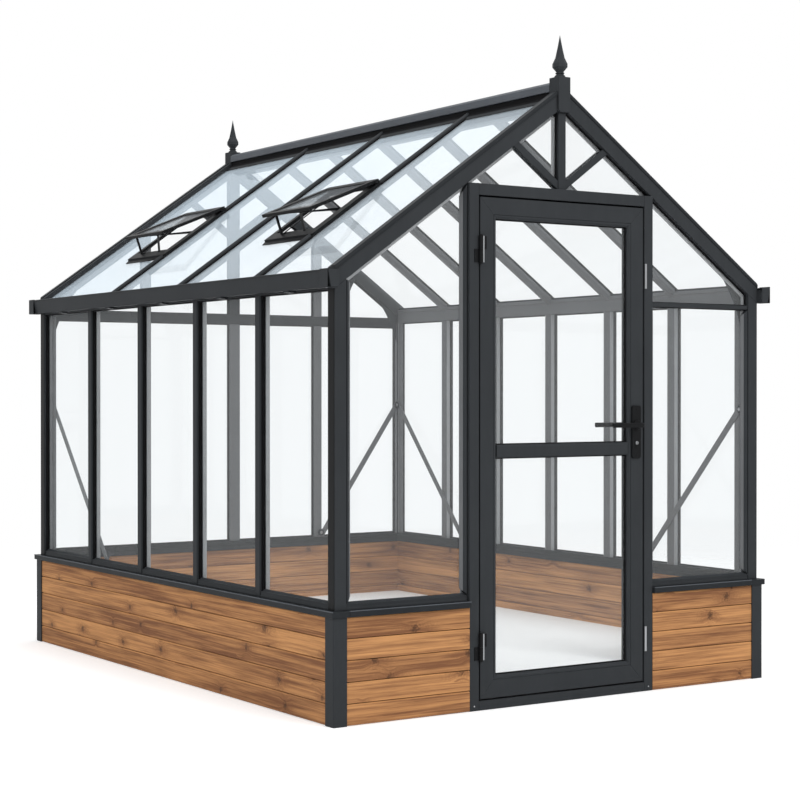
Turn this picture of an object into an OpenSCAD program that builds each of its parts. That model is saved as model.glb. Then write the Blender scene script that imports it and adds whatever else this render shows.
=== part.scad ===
// Aluminium greenhouse on a boarded timber base, with a hinged glazed door in the front
// gable and two roof vents held open in the left slope.
// Millimetres, +Z up, front gable towards -Y, origin at the middle of the footprint.

/* [Base] */
// Outer width of the timber base
base_width = 2120; // [1900:10:2600]
// Outer length of the timber base
base_length = 2780; // [2400:10:3600]
// Height of the timber base walls
base_height = 395; // [320:5:480]
// Side of a base corner post
base_corner = 58; // [54:1:80]
// Rounding of the outer edge of a base corner post
base_corner_round = 5; // [3:1:24]
// Set-back of the boarded walls from the corner posts
board_inset = 5; // [3:1:10]
// Height of the floor slab
floor_height = 125; // [60:1:140]
// Thickness of the sill cap on the base
sill_cap_height = 23; // [16:1:30]
// Overhang of the sill cap past the base
sill_overhang = 8; // [4:1:14]

/* [Wall frame] */
// Set-back of the upper corner posts from the base faces
post_inset = 16; // [12:1:24]
// Side of an upper corner post
post_size = 50; // [50:1:60]
// Height of the bottom glazing rail
rail_height = 22; // [16:1:40]
// Set-back of rails, mullions and ties from the post faces
bar_inset = 5; // [3:1:8]
// Depth of mullions, ties and gable posts
mullion_depth = 38; // [34:1:40]
// Width of a mullion
mullion_width = 44; // [34:1:56]
// Set-back of the glass from the post faces
glass_setback = 22; // [20:1:26]
// Thickness of the glass
glass_thickness = 4; // [3:0.5:6]
// Panes along the left wall
left_wall_bays = 5; // [3:1:8]
// Panes along the right wall
right_wall_bays = 6; // [3:1:8]
// Height of a corner brace above the rail
brace_height = 725; // [500:5:900]
// Distance along a side wall that a corner brace covers
brace_run = 640; // [400:10:700]
// Distance along the rear wall that its corner brace covers
rear_brace_run = 500; // [350:10:600]
// Width of a corner brace
brace_width = 28; // [20:1:40]
// Thickness of a corner brace
brace_thickness = 6; // [4:1:6]

/* [Roof] */
// Slope of the roof in degrees
roof_pitch = 35.3; // [32:0.1:38]
// Depth of a verge rafter across the slope
rafter_depth = 64; // [56:1:76]
// Depth of the roof glass below the roof line
roof_glass_depth = 20; // [18:1:26]
// Height of a roof bar under the glass
roof_bar_depth = 26; // [18:1:40]
// Width of a roof bar and of its cap
roof_bar_width = 48; // [32:1:56]
// Height of a roof bar cap above the glass
roof_cap_height = 14; // [8:1:16]
// Gap between neighbouring roof panes
pane_gap = 4; // [2:1:8]
// Panes along the left slope
left_roof_bays = 4; // [3:1:6]
// Shift of the left slope's bars from equal bays towards the front
left_bar_shift = 100; // [0:5:120]
// Panes along the right slope
right_roof_bays = 6; // [3:1:8]
// Height of an eave beam at its outer face
eave_height = 51; // [44:1:80]
// Depth of an eave beam
eave_depth = 42; // [36:1:48]
// Reach of the roof glass into the gutter
roof_overhang = 8; // [4:1:14]
// Width of the ridge beam
ridge_width = 40; // [30:1:50]
// Height of the ridge cap
ridge_cap_height = 38; // [28:1:46]
// Overhang of the ridge cap on each side
ridge_cap_overhang = 10; // [6:1:16]
// Height of the ridge cap's top above the roof line
ridge_rise = 24; // [18:1:32]

/* [Gable] */
// Width of the front king post
king_width = 36; // [30:1:50]
// Width of a gable strut
strut_width = 28; // [24:1:44]
// Angle of a gable strut in degrees
strut_angle = 36; // [30:1:50]
// Thickness of a gable strut on each face of the glass
strut_depth = 14; // [8:1:15]
// Drop of the gable ties' undersides below the eave beams
tie_drop = 26; // [0:1:40]
// Height of the tie over the right front pane
front_tie_height = 17; // [14:1:40]
// Height of the tie across the rear gable
rear_tie_height = 50; // [36:1:56]
// Width of an apex block
block_width = 57; // [52:1:66]
// How far an apex block stands proud of the rafters
block_proud = 12; // [6:1:18]
// Height of an apex block's top above the roof line
block_rise = 40; // [34:1:50]
// Bevel at the foot of an apex block
block_bevel = 9; // [4:1:12]
// Height of a finial
finial_height = 168; // [140:1:200]
// Width of a finial at its collar
finial_width = 60; // [46:1:70]

/* [Gutter] */
// Width of a gutter at its rim
gutter_width = 46; // [38:1:60]
// Width of a gutter at its bottom
gutter_base = 34; // [28:1:36]
// Height of a gutter
gutter_height = 64; // [54:1:76]
// Wall of a gutter
gutter_wall = 3; // [2:0.5:4]
// Reach of a gutter past each end of the base
gutter_reach = 12; // [6:1:20]

/* [Roof vents] */
// Distance of a vent from the ridge along the slope
vent_start = 585; // [440:5:620]
// Length of a vent along the slope
vent_length = 385; // [360:5:460]
// Width of a vent along the eave
vent_width = 390; // [330:10:420]
// Width of the vent curb
curb_width = 30; // [24:1:36]
// Width of the weathered lower rail of the vent curb
curb_lip = 46; // [40:1:60]
// Height of the vent curb
curb_height = 14; // [12:1:30]
// Length of a vent sash
sash_length = 350; // [320:2:360]
// Width of a sash bar
sash_bar = 25; // [20:1:32]
// Thickness of a sash
sash_depth = 14; // [12:1:24]
// Angle at which the sashes stand open, in degrees
vent_angle = 13; // [8:0.5:20]
// Radius of the vent opener's cylinder
opener_radius = 16; // [12:1:20]

/* [Door] */
// Outer width of the door frame
door_frame_width = 910; // [860:10:1000]
// Outer height of the door frame
door_frame_height = 2000; // [1900:10:2100]
// Face width of the door frame members
door_member = 44; // [38:1:52]
// Height of the threshold
threshold_height = 36; // [28:1:44]
// Set-back of the door frame from the base corner posts
door_frame_inset = 6; // [4:1:10]
// Gap around the door leaf
door_gap = 7; // [7:0.5:9]
// Depth of the door leaf
leaf_depth = 40; // [34:1:41]
// Set-back of the leaf from the door frame face
leaf_inset = 2; // [1:0.5:2]
// Width of the door stiles
stile_width = 78; // [70:1:90]
// Height of the door's top rail
top_rail_height = 80; // [66:1:92]
// Height of the door's bottom rail
bottom_rail_height = 85; // [70:1:110]
// Height of the door's middle rail
mid_rail_height = 50; // [40:1:70]
// Height of the middle rail's underside above the ground
mid_rail_z = 957; // [850:5:1050]
// Height of the upper hinge
upper_hinge_z = 1700; // [1600:10:1750]
// Height of the lower hinge
lower_hinge_z = 192; // [150:2:300]
// Height of a hinge
hinge_height = 100; // [80:2:120]
// Radius of a hinge barrel
hinge_radius = 8; // [6:0.5:8]
// Radius of a hinge pin
pin_radius = 3; // [2:0.5:4]
// Width of a hinge plate
hinge_plate = 26; // [18:1:32]
// Thickness of hinge plates and keep strips
plate_thickness = 3; // [2:0.5:3]
// Width of a keep strip on the lock side
keep_width = 10; // [8:1:14]
// Height of the upper keep strip's foot
upper_keep_z = 1625; // [1550:5:1700]
// Height of the lower keep strip's foot
lower_keep_z = 162; // [120:2:260]
// Width of a handle plate
handle_plate_width = 46; // [38:1:54]
// Height of a handle plate
handle_plate_height = 212; // [190:1:230]
// Thickness of a handle plate
handle_plate_depth = 9; // [6:1:9]
// Height of the handle plate's foot above the ground
handle_plate_z = 942; // [900:2:980]
// Height of the lever above the handle plate's foot
lever_rise = 134; // [110:1:160]
// Length of the lever from its pivot
lever_length = 145; // [110:1:160]
// Reach of the lever from the plate
lever_reach = 54; // [44:1:64]
// Thickness of the lever
lever_thickness = 16; // [12:1:20]
// Radius of the lever's neck
neck_radius = 10; // [8:1:13]

/* [Hidden] */
$fn = 48;
hairline = 0.2;
seat = 0.1;
running_fit = 0.08;
finial_sides = 8;
base_x = base_width / 2;
base_y = base_length / 2;
wall_in_x = base_x - base_corner;
wall_in_y = base_y - base_corner;
sill_z = base_height + sill_cap_height;
rail_z = sill_z + rail_height;
post_x = base_x - post_inset;
post_y = base_y - post_inset;
in_x = post_x - post_size;
in_y = post_y - post_size;
bar_back = bar_inset + mullion_depth;
glass_back = glass_setback + glass_thickness;
frame_x = door_frame_width / 2;
head_z = door_frame_height - door_member;
apex_z = door_frame_height + frame_x * tan(roof_pitch) + rafter_depth / cos(roof_pitch);
glass_under = roof_glass_depth + glass_thickness;
bar_under = glass_under + roof_bar_depth;
cap_top = roof_glass_depth - roof_cap_height;
eave_z = roof_z(glass_under, post_x) - eave_height;
eave_in_x = post_x - eave_depth;
tail_x = post_x + roof_overhang;
tie_z = eave_z - tie_drop;
front_tie_z = tie_z + front_tie_height;
rear_tie_z = tie_z + rear_tie_height;
ridge_x = ridge_width / 2;
ridge_cap_z = apex_z + ridge_rise - ridge_cap_height;
ridge_cap_x = ridge_x + ridge_cap_overhang;
ridge_bevel = ridge_cap_overhang;
ridge_foot_z = roof_z(bar_under, 0) - post_size / 2;
block_x = block_width / 2;
block_foot_z = roof_z(rafter_depth, block_x);
block_top_z = apex_z + block_rise;
king_x = king_width / 2;
rear_stud_x = in_x / 2;
gutter_top_z = roof_z(glass_under, post_x) + ridge_rise * 3 / 4;
gutter_z = gutter_top_z - gutter_height;
gutter_lip_z = roof_z(glass_under, post_x + gutter_wall) - gutter_wall;
gutter_y = base_y + gutter_reach;
vent_bars_y = [left_bar_y(1), left_bar_y(left_roof_bays - 1)];
vent_end = vent_start + vent_length;
vent_v1 = roof_bar_width / 2;
vent_v0 = vent_v1 - vent_width;
vent_mid_v = (vent_v0 + vent_v1) / 2;
curb_w0 = -roof_glass_depth;
curb_w1 = curb_w0 + curb_height;
lip_u = vent_end - curb_lip;
vent_cut_top = (vent_start + curb_width / 2) * cos(roof_pitch) - roof_glass_depth * sin(roof_pitch);
vent_cut_foot = (vent_end - curb_lip / 2) * cos(roof_pitch) - roof_glass_depth * sin(roof_pitch);
cap_stop_top = (vent_start - hairline) * cos(roof_pitch) - roof_glass_depth * sin(roof_pitch);
cap_stop_foot = (vent_end + hairline) * cos(roof_pitch) - cap_top * sin(roof_pitch);
opener_w = curb_w0 - opener_radius * 5 / 2;
opener_block = opener_radius * 3 / 2;
opener_start = vent_start + curb_width + vent_length / 4;
door_front = -(base_y - door_frame_inset);
door_back = -wall_in_y;
leaf_front = door_front + leaf_inset;
leaf_back = leaf_front + leaf_depth;
leaf_x = frame_x - door_member - door_gap;
leaf_z0 = threshold_height + door_gap;
leaf_z1 = head_z - door_gap;
pane_x = leaf_x - stile_width;
pane_z0 = leaf_z0 + bottom_rail_height;
pane_z1 = leaf_z1 - top_rail_height;
mid_rail_top = mid_rail_z + mid_rail_height;
hinge_x = -(leaf_x + door_gap / 2);
hinge_y = door_front - hinge_radius - hairline * 5;
hinges_z = [lower_hinge_z, upper_hinge_z];
knuckle = hinge_height / 2;
handle_x = leaf_x - stile_width / 2;
lever_z = handle_plate_z + lever_rise;
plate_front = leaf_front - handle_plate_depth;
plate_back = leaf_back + handle_plate_depth;
lever_half = neck_radius;
anthracite = [0.2, 0.21, 0.22];
timber = [0.66, 0.46, 0.3];
clear = [0.82, 0.9, 0.94, 0.35];
steel = [0.75, 0.76, 0.78];
stone = [0.82, 0.82, 0.8];

// Height of the plane that lies a given depth under the roof line, at a distance from the middle
function roof_z(depth, x) = apex_z - depth / cos(roof_pitch) - abs(x) * tan(roof_pitch);
// Height above the slope of the open sash's underside
function sash_w(u) = curb_w1 - seat + (u - vent_start) * tan(vent_angle);
// Position of a mullion or bar in a run of equal bays
function bay_y(i, bays) = -in_y + 2 * in_y * i / bays;
// Position of a bar of the left slope, or of the slope's end
function left_bar_y(i) = bay_y(i, left_roof_bays) - (i > 0 && i < left_roof_bays ? left_bar_shift : 0);

// Box between two corners
module box(lo, hi) { translate(lo) cube(hi - lo); }

// Outline in X and Z carried along Y
module xz(y0, y1) { translate([0, y1, 0]) rotate([90, 0, 0]) linear_extrude(y1 - y0) children(); }

// Outline in Y and Z carried along X
module yz(x0, x1) { translate([x0, 0, 0]) rotate([90, 0, 90]) linear_extrude(x1 - x0) children(); }

// The same shape on the right and on the left
module both_sides() { for (m = [0, 1]) mirror([m, 0, 0]) children(); }

// The same shape at the rear and at the front
module both_ends() { for (m = [0, 1]) mirror([0, m, 0]) children(); }

// Strip of the right slope between two depths and two distances from the middle
module slope_strip(x0, x1, top, under, y0, y1) {
  xz(y0, y1) polygon([[x0, roof_z(top, x0)], [x1, roof_z(top, x1)],
    [x1, roof_z(under, x1)], [x0, roof_z(under, x0)]]);
}

// Frame of the left slope: first axis down the slope, second to the front, third outwards
module left_slope() {
  translate([0, 0, apex_z]) rotate([0, -roof_pitch, 0]) rotate([0, 0, 180]) children();
}

// The same shape at both roof vents
module at_vents() { for (y = vent_bars_y) translate([0, y, 0]) left_slope() children(); }

// Frame of an open sash, turned up about its top edge
module at_sashes() {
  at_vents() translate([vent_start, 0, curb_w1]) rotate([0, -vent_angle, 0]) children();
}

module left_base_wall() color(timber)
  box([-base_x + board_inset, -wall_in_y, 0], [-wall_in_x, wall_in_y, base_height]);

module right_base_wall() color(timber)
  box([wall_in_x, -wall_in_y, 0], [base_x - board_inset, wall_in_y, base_height]);

module rear_base_wall() color(timber)
  box([-wall_in_x, wall_in_y, 0], [wall_in_x, base_y - board_inset, base_height]);

module front_base_walls() color(timber) both_sides()
  box([frame_x, -base_y + board_inset, 0], [wall_in_x, -wall_in_y, base_height]);

module base_corners() color(anthracite) both_sides() both_ends()
  translate([wall_in_x, wall_in_y, 0]) linear_extrude(base_height) union() {
    square([base_corner - base_corner_round, base_corner]);
    square([base_corner, base_corner - base_corner_round]);
    translate([base_corner - base_corner_round, base_corner - base_corner_round])
      circle(base_corner_round);
  }

module floor_slab() color(stone)
  box([-wall_in_x, -wall_in_y, 0], [wall_in_x, wall_in_y, floor_height]);

module sill_caps() color(anthracite) {
  both_sides() {
    box([in_x, -base_y - sill_overhang, base_height],
      [base_x + sill_overhang, base_y + sill_overhang, sill_z]);
    box([frame_x, -base_y - sill_overhang, base_height], [in_x - hairline, -in_y, sill_z]);
  }
  box([-in_x + hairline, in_y, base_height], [in_x - hairline, base_y + sill_overhang, sill_z]);
}

module sill_rails() color(anthracite) {
  both_sides() {
    box([in_x, -in_y, sill_z], [post_x - bar_inset, in_y, rail_z]);
    box([frame_x, -post_y + bar_inset, sill_z], [in_x, -in_y, rail_z]);
  }
  box([-in_x, in_y, sill_z], [in_x, post_y - bar_inset, rail_z]);
}

module corner_posts() color(anthracite) both_sides() both_ends()
  xz(in_y, post_y) polygon([[in_x, sill_z], [post_x, sill_z],
    [post_x, roof_z(rafter_depth, post_x)], [in_x, roof_z(rafter_depth, in_x)]]);

// Mullion of a side wall at one place along it
module side_mullion(y)
  box([post_x - bar_back, y - mullion_width / 2, rail_z],
    [post_x - bar_inset, y + mullion_width / 2, eave_z]);

module left_mullions() color(anthracite) mirror([1, 0, 0])
  for (i = [1 : left_wall_bays - 1]) side_mullion(bay_y(i, left_wall_bays));

module right_mullions() color(anthracite)
  for (i = [1 : right_wall_bays - 1]) side_mullion(bay_y(i, right_wall_bays));

module rear_mullions() color(anthracite) {
  both_sides() {
    box([rear_stud_x - mullion_width / 2, post_y - bar_back, rail_z],
      [rear_stud_x + mullion_width / 2, post_y - bar_inset, tie_z]);
    xz(post_y - bar_back, post_y - bar_inset) polygon([
      [rear_stud_x - mullion_width / 2, rear_tie_z], [rear_stud_x + mullion_width / 2, rear_tie_z],
      [rear_stud_x + mullion_width / 2, roof_z(rafter_depth, rear_stud_x + mullion_width / 2)],
      [rear_stud_x - mullion_width / 2, roof_z(rafter_depth, rear_stud_x - mullion_width / 2)]]);
  }
  box([-block_x, post_y - bar_back, rail_z], [block_x, post_y - bar_inset, tie_z]);
}

module king_posts() color(anthracite) {
  box([-king_x, -post_y + bar_inset, door_frame_height], [king_x, -post_y + bar_back, block_foot_z]);
  box([-block_x, post_y - bar_back, rear_tie_z], [block_x, post_y - bar_inset, block_foot_z]);
}

// Outline of a strut that rises from a king post's side to the rafter
module strut_outline(x0) {
  rise = tan(strut_angle);
  start = strut_width / cos(strut_angle);
  reach = rise + tan(roof_pitch);
  x1 = (roof_z(rafter_depth, 0) - door_frame_height + x0 * rise) / reach;
  x2 = (roof_z(rafter_depth, 0) - door_frame_height - start + x0 * rise) / reach;
  polygon([[x0, door_frame_height], [x1, roof_z(rafter_depth, x1)],
    [x2, roof_z(rafter_depth, x2)], [x0, door_frame_height + start]]);
}

module gable_struts() color(anthracite) both_sides() {
  xz(-post_y + glass_setback - strut_depth, -post_y + glass_setback) strut_outline(king_x);
  xz(-post_y + glass_back, -post_y + glass_back + strut_depth) strut_outline(king_x);
  xz(post_y - glass_setback, post_y - glass_setback + strut_depth) strut_outline(block_x);
  xz(post_y - glass_back - strut_depth, post_y - glass_back) strut_outline(block_x);
}

module gable_ties() color(anthracite) {
  box([frame_x, -post_y + bar_inset, tie_z], [in_x, -post_y + bar_back, front_tie_z]);
  box([-in_x, post_y - bar_back, tie_z], [in_x, post_y - bar_inset, rear_tie_z]);
}

// Outline of a brace that falls from a corner post towards the middle of a wall
module brace_outline(corner, run) {
  angle = atan2(brace_height, run);
  polygon([[corner, rail_z + brace_height], [corner, rail_z + brace_height - brace_width / cos(angle)],
    [corner - run + brace_width / sin(angle), rail_z], [corner - run, rail_z]]);
}

module wall_braces() color(anthracite) {
  both_sides() yz(post_x - bar_back - brace_thickness, post_x - bar_back) brace_outline(in_y, brace_run);
  mirror([0, 1, 0]) yz(post_x - bar_back - brace_thickness, post_x - bar_back)
    brace_outline(in_y, brace_run);
  xz(post_y - bar_back - brace_thickness, post_y - bar_back) brace_outline(in_x, rear_brace_run);
}

module eave_beams() color(anthracite) both_sides() xz(-in_y, in_y)
  polygon([[eave_in_x, eave_z], [post_x, eave_z],
    [post_x, roof_z(glass_under, post_x)], [eave_in_x, roof_z(glass_under, eave_in_x)]]);

module gutters() color(anthracite) both_sides() {
  box([post_x, -gutter_y, gutter_z], [post_x + gutter_wall, gutter_y, gutter_lip_z]);
  box([post_x + gutter_wall + hairline, -gutter_y, gutter_z],
    [post_x + gutter_base - gutter_wall - hairline, gutter_y, gutter_z + gutter_wall]);
  xz(-gutter_y, gutter_y) polygon([[post_x + gutter_base - gutter_wall, gutter_z],
    [post_x + gutter_base, gutter_z], [post_x + gutter_width, gutter_top_z],
    [post_x + gutter_width - gutter_wall, gutter_top_z]]);
}

module gutter_ends() color(anthracite) both_sides() both_ends() xz(gutter_y, gutter_y + gutter_wall)
  polygon([[post_x, gutter_z], [post_x + gutter_base, gutter_z], [post_x + gutter_width, gutter_top_z],
    [post_x, gutter_top_z]]);

module verge_rafters() color(anthracite) both_sides() both_ends()
  slope_strip(block_x, post_x, 0, rafter_depth - seat, in_y, post_y);

module ridge_beam() color(anthracite)
  box([-ridge_x, -in_y, ridge_foot_z], [ridge_x, in_y, ridge_cap_z]);

module ridge_cap() color(anthracite) xz(-in_y, in_y)
  polygon([[-ridge_cap_x, ridge_cap_z], [ridge_cap_x, ridge_cap_z],
    [ridge_cap_x, apex_z + ridge_rise - ridge_bevel], [ridge_cap_x - ridge_bevel, apex_z + ridge_rise],
    [-ridge_cap_x + ridge_bevel, apex_z + ridge_rise], [-ridge_cap_x, apex_z + ridge_rise - ridge_bevel]]);

module apex_blocks() color(anthracite) both_ends() xz(in_y, post_y + block_proud)
  polygon([[-block_x, block_foot_z + block_bevel], [-block_x + block_bevel, block_foot_z],
    [block_x - block_bevel, block_foot_z], [block_x, block_foot_z + block_bevel],
    [block_x, block_top_z], [-block_x, block_top_z]]);

module finials() color(anthracite) both_ends()
  translate([0, (in_y + post_y + block_proud) / 2, block_top_z])
    rotate_extrude($fn = finial_sides)
      polygon([[0, 0], [finial_width * 0.34, 0], [finial_width * 0.34, finial_height * 0.04],
        [finial_width * 0.24, finial_height * 0.08], [finial_width * 0.24, finial_height * 0.13],
        [finial_width / 2, finial_height * 0.24], [finial_width / 2, finial_height * 0.32],
        [finial_width * 0.31, finial_height * 0.46], [finial_width * 0.16, finial_height * 0.7],
        [0, finial_height]]);

// Roof bar under the glass, on the right slope
module roof_bar(y)
  slope_strip(ridge_x, eave_in_x, glass_under, bar_under, y - roof_bar_width / 2, y + roof_bar_width / 2);

// Stretch of a roof bar's cap over the glass, on the right slope
module roof_bar_cap(y, x0, x1)
  slope_strip(x0, x1, cap_top, roof_glass_depth, y - roof_bar_width / 2, y + roof_bar_width / 2);

module left_roof_bars() color(anthracite) mirror([1, 0, 0]) {
  for (i = [1 : left_roof_bays - 1]) {
    y = left_bar_y(i);
    roof_bar(y);
    if (i == 1 || i == left_roof_bays - 1) {
      roof_bar_cap(y, ridge_x, cap_stop_top);
      roof_bar_cap(y, cap_stop_foot, tail_x);
    } else roof_bar_cap(y, ridge_x, tail_x);
  }
}

module right_roof_bars() color(anthracite)
  for (i = [1 : right_roof_bays - 1]) {
    roof_bar(bay_y(i, right_roof_bays));
    roof_bar_cap(bay_y(i, right_roof_bays), ridge_x, tail_x);
  }

// Panes of a side wall between its posts and mullions
module side_panes(bays)
  for (i = [0 : bays - 1])
    box([post_x - glass_back, bay_y(i, bays) + (i > 0 ? mullion_width / 2 : 0), rail_z],
      [post_x - glass_setback, bay_y(i + 1, bays) - (i < bays - 1 ? mullion_width / 2 : 0), eave_z]);

module left_wall_glass() color(clear) mirror([1, 0, 0]) side_panes(left_wall_bays);

module right_wall_glass() color(clear) side_panes(right_wall_bays);

module rear_wall_glass() color(clear) both_sides() {
  stud_in = rear_stud_x - mullion_width / 2;
  stud_out = rear_stud_x + mullion_width / 2;
  for (span = [[block_x, stud_in], [stud_out, in_x]])
    xz(post_y - glass_setback - glass_thickness, post_y - glass_setback) {
      polygon([[span[0], rail_z], [span[1], rail_z], [span[1], tie_z], [span[0], tie_z]]);
      polygon([[span[0], rear_tie_z], [span[1], rear_tie_z],
        [span[1], roof_z(rafter_depth, span[1])], [span[0], roof_z(rafter_depth, span[0])]]);
    }
}

module front_wall_glass() color(clear) xz(-post_y + glass_setback, -post_y + glass_back) {
  polygon([[-in_x, rail_z], [-frame_x, rail_z], [-frame_x, door_frame_height],
    [-in_x, roof_z(rafter_depth, in_x)]]);
  polygon([[frame_x, rail_z], [in_x, rail_z], [in_x, tie_z], [frame_x, tie_z]]);
  polygon([[frame_x, front_tie_z], [in_x, front_tie_z], [in_x, roof_z(rafter_depth, in_x)],
    [frame_x, door_frame_height]]);
  both_sides() polygon([[king_x, door_frame_height], [frame_x - hairline, door_frame_height],
    [block_x, block_foot_z], [king_x, block_foot_z]]);
}

// Stretch of roof glass on the right slope
module roof_pane(x0, x1, y0, y1)
  slope_strip(x0, x1, roof_glass_depth + seat, glass_under - seat, y0, y1);

// Half of the gap at a pane's edge, which the ends of a slope don't have
function half_gap(i, bays) = i > 0 && i < bays ? pane_gap / 2 : 0;

module left_roof_glass() color(clear) mirror([1, 0, 0])
  for (i = [0 : left_roof_bays - 1]) {
    y0 = left_bar_y(i) + half_gap(i, left_roof_bays);
    y1 = left_bar_y(i + 1) - half_gap(i + 1, left_roof_bays);
    if (i == 1 || i == left_roof_bays - 1) {
      roof_pane(ridge_x, vent_cut_top, y0, y1);
      roof_pane(vent_cut_top + hairline, vent_cut_foot - hairline,
        left_bar_y(i) - vent_v0 - curb_width / 2, y1);
      roof_pane(vent_cut_foot, tail_x, y0, y1);
    } else roof_pane(ridge_x, tail_x, y0, y1);
  }

module right_roof_glass() color(clear)
  for (i = [0 : right_roof_bays - 1])
    roof_pane(ridge_x, tail_x, bay_y(i, right_roof_bays) + half_gap(i, right_roof_bays),
      bay_y(i + 1, right_roof_bays) - half_gap(i + 1, right_roof_bays));

module vent_curbs() color(anthracite) at_vents() {
  box([vent_start, vent_v0, curb_w0], [vent_start + curb_width, vent_v1, curb_w1]);
  box([lip_u, vent_v0, curb_w0], [vent_end, vent_v1, curb_w1]);
  for (v = [[vent_v0, vent_v0 + curb_width], [-vent_v1, vent_v1]])
    box([vent_start + curb_width + hairline, v[0], curb_w0], [lip_u - hairline, v[1], curb_w1]);
}

module vent_sashes() color(anthracite) at_sashes() {
  box([0, vent_v0, 0], [sash_bar, vent_v1, sash_depth]);
  box([sash_length - sash_bar, vent_v0, 0], [sash_length, vent_v1, sash_depth]);
  for (v = [vent_v0, vent_v1 - sash_bar])
    box([sash_bar + hairline, v, 0], [sash_length - sash_bar - hairline, v + sash_bar, sash_depth]);
}

module vent_glass() color(clear) at_sashes()
  box([sash_bar, vent_v0 + sash_bar, (sash_depth - glass_thickness) / 2],
    [sash_length - sash_bar, vent_v1 - sash_bar, (sash_depth + glass_thickness) / 2]);

module vent_hardware() color(anthracite) at_vents() {
  toe = vent_start + (sash_length - sash_bar) * cos(vent_angle);
  stay = sash_bar / 3;
  xz(vent_v0 + curb_width, vent_v1 - curb_width) polygon([[vent_start, curb_w1],
    [vent_start + sash_bar, curb_w1], [vent_start + sash_bar, sash_w(vent_start + sash_bar)]]);
  xz(vent_v0 + curb_width * 3, vent_v0 + curb_width * 3 + stay) polygon([[lip_u + stay, curb_w1],
    [lip_u + 2 * stay, curb_w1], [toe + 2 * stay, sash_w(toe + 2 * stay)],
    [toe + stay, sash_w(toe + stay)]]);
  box([lip_u - opener_radius, vent_mid_v - opener_radius, opener_w - opener_radius],
    [lip_u, vent_mid_v + opener_radius, curb_w1 - stay]);
  translate([opener_start, vent_mid_v, opener_w]) rotate([0, 90, 0])
    cylinder(h = lip_u - opener_radius - hairline - opener_start, r = opener_radius);
  box([opener_start - opener_block - hairline, vent_mid_v - opener_radius, opener_w - opener_radius],
    [opener_start - hairline, vent_mid_v + opener_radius, opener_w + opener_radius]);
  xz(vent_mid_v - stay / 2, vent_mid_v + stay / 2) polygon([
    [opener_start - opener_block, opener_w + opener_radius + hairline],
    [opener_start - hairline, opener_w + opener_radius + hairline],
    [toe + 2 * stay, sash_w(toe + 2 * stay)], [toe, sash_w(toe)]]);
}

module door_frame() color(anthracite) {
  both_sides() box([frame_x - door_member, door_front, 0], [frame_x, door_back, door_frame_height]);
  box([-frame_x + door_member + hairline, door_front, head_z],
    [frame_x - door_member - hairline, door_back, door_frame_height]);
  box([-frame_x + door_member + hairline, door_front, 0],
    [frame_x - door_member - hairline, door_back, threshold_height]);
}

module frame_hinges() color(anthracite) for (z = hinges_z) translate([hinge_x, 0, z]) {
  translate([0, hinge_y, 0]) cylinder(h = knuckle - hairline, r = hinge_radius);
  translate([0, hinge_y, 0]) cylinder(h = hinge_height - plate_thickness, r = pin_radius);
  box([-hinge_plate, door_front - plate_thickness, 0], [0, door_front, knuckle - hairline]);
}

module door_hinges() color(anthracite) for (z = hinges_z) translate([hinge_x, 0, z]) difference() {
  union() {
    translate([0, hinge_y, knuckle]) cylinder(h = knuckle, r = hinge_radius);
    box([0, hinge_y, knuckle], [hinge_plate, leaf_front, hinge_height]);
  }
  translate([0, hinge_y, 0]) cylinder(h = hinge_height + plate_thickness, r = pin_radius + running_fit);
}

module door_keeps() color(steel) for (z = [lower_keep_z, upper_keep_z])
  box([frame_x - door_member, door_front - plate_thickness, z],
    [frame_x - door_member + keep_width, door_front, z + hinge_height]);

module door_leaf() color(anthracite) {
  both_sides() box([pane_x, leaf_front, leaf_z0], [leaf_x, leaf_back, leaf_z1]);
  for (rail = [[leaf_z0, pane_z0], [mid_rail_z, mid_rail_top], [pane_z1, leaf_z1]])
    box([-pane_x + hairline, leaf_front, rail[0]], [pane_x - hairline, leaf_back, rail[1]]);
}

module door_glass() color(clear) for (pane = [[pane_z0, mid_rail_z], [mid_rail_top, pane_z1]])
  box([-pane_x, (leaf_front + leaf_back - glass_thickness) / 2, pane[0]],
    [pane_x, (leaf_front + leaf_back + glass_thickness) / 2, pane[1]]);

module handle_plates() color(anthracite) for (y = [[plate_front, leaf_front], [leaf_back, plate_back]])
  box([handle_x - handle_plate_width / 2, y[0], handle_plate_z],
    [handle_x + handle_plate_width / 2, y[1], handle_plate_z + handle_plate_height]);

// Lever on one face of the door, reaching towards -Y from a plate at the origin
module lever_half_set() {
  translate([0, -hairline, 0]) rotate([90, 0, 0])
    cylinder(h = lever_reach - hairline, r = neck_radius);
  box([-lever_length, -lever_reach, -lever_half], [0, -lever_reach + lever_thickness, lever_half]);
}

module door_lever() color(anthracite) translate([handle_x, 0, lever_z]) {
  translate([0, plate_front, 0]) lever_half_set();
  translate([0, plate_back, 0]) mirror([0, 1, 0]) lever_half_set();
}

left_base_wall();
right_base_wall();
rear_base_wall();
front_base_walls();
base_corners();
floor_slab();
sill_caps();
sill_rails();
corner_posts();
left_mullions();
right_mullions();
rear_mullions();
king_posts();
gable_struts();
gable_ties();
wall_braces();
eave_beams();
gutters();
gutter_ends();
verge_rafters();
ridge_beam();
ridge_cap();
apex_blocks();
finials();
left_roof_bars();
right_roof_bars();
left_wall_glass();
right_wall_glass();
rear_wall_glass();
front_wall_glass();
left_roof_glass();
right_roof_glass();
vent_curbs();
vent_sashes();
vent_glass();
vent_hardware();
door_frame();
frame_hinges();
door_keeps();
door_leaf();
door_glass();
door_hinges();
handle_plates();
door_lever();
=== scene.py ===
"""Looks of an aluminium greenhouse: boards, glazing, trims, door furniture, finishes and stage."""

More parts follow.
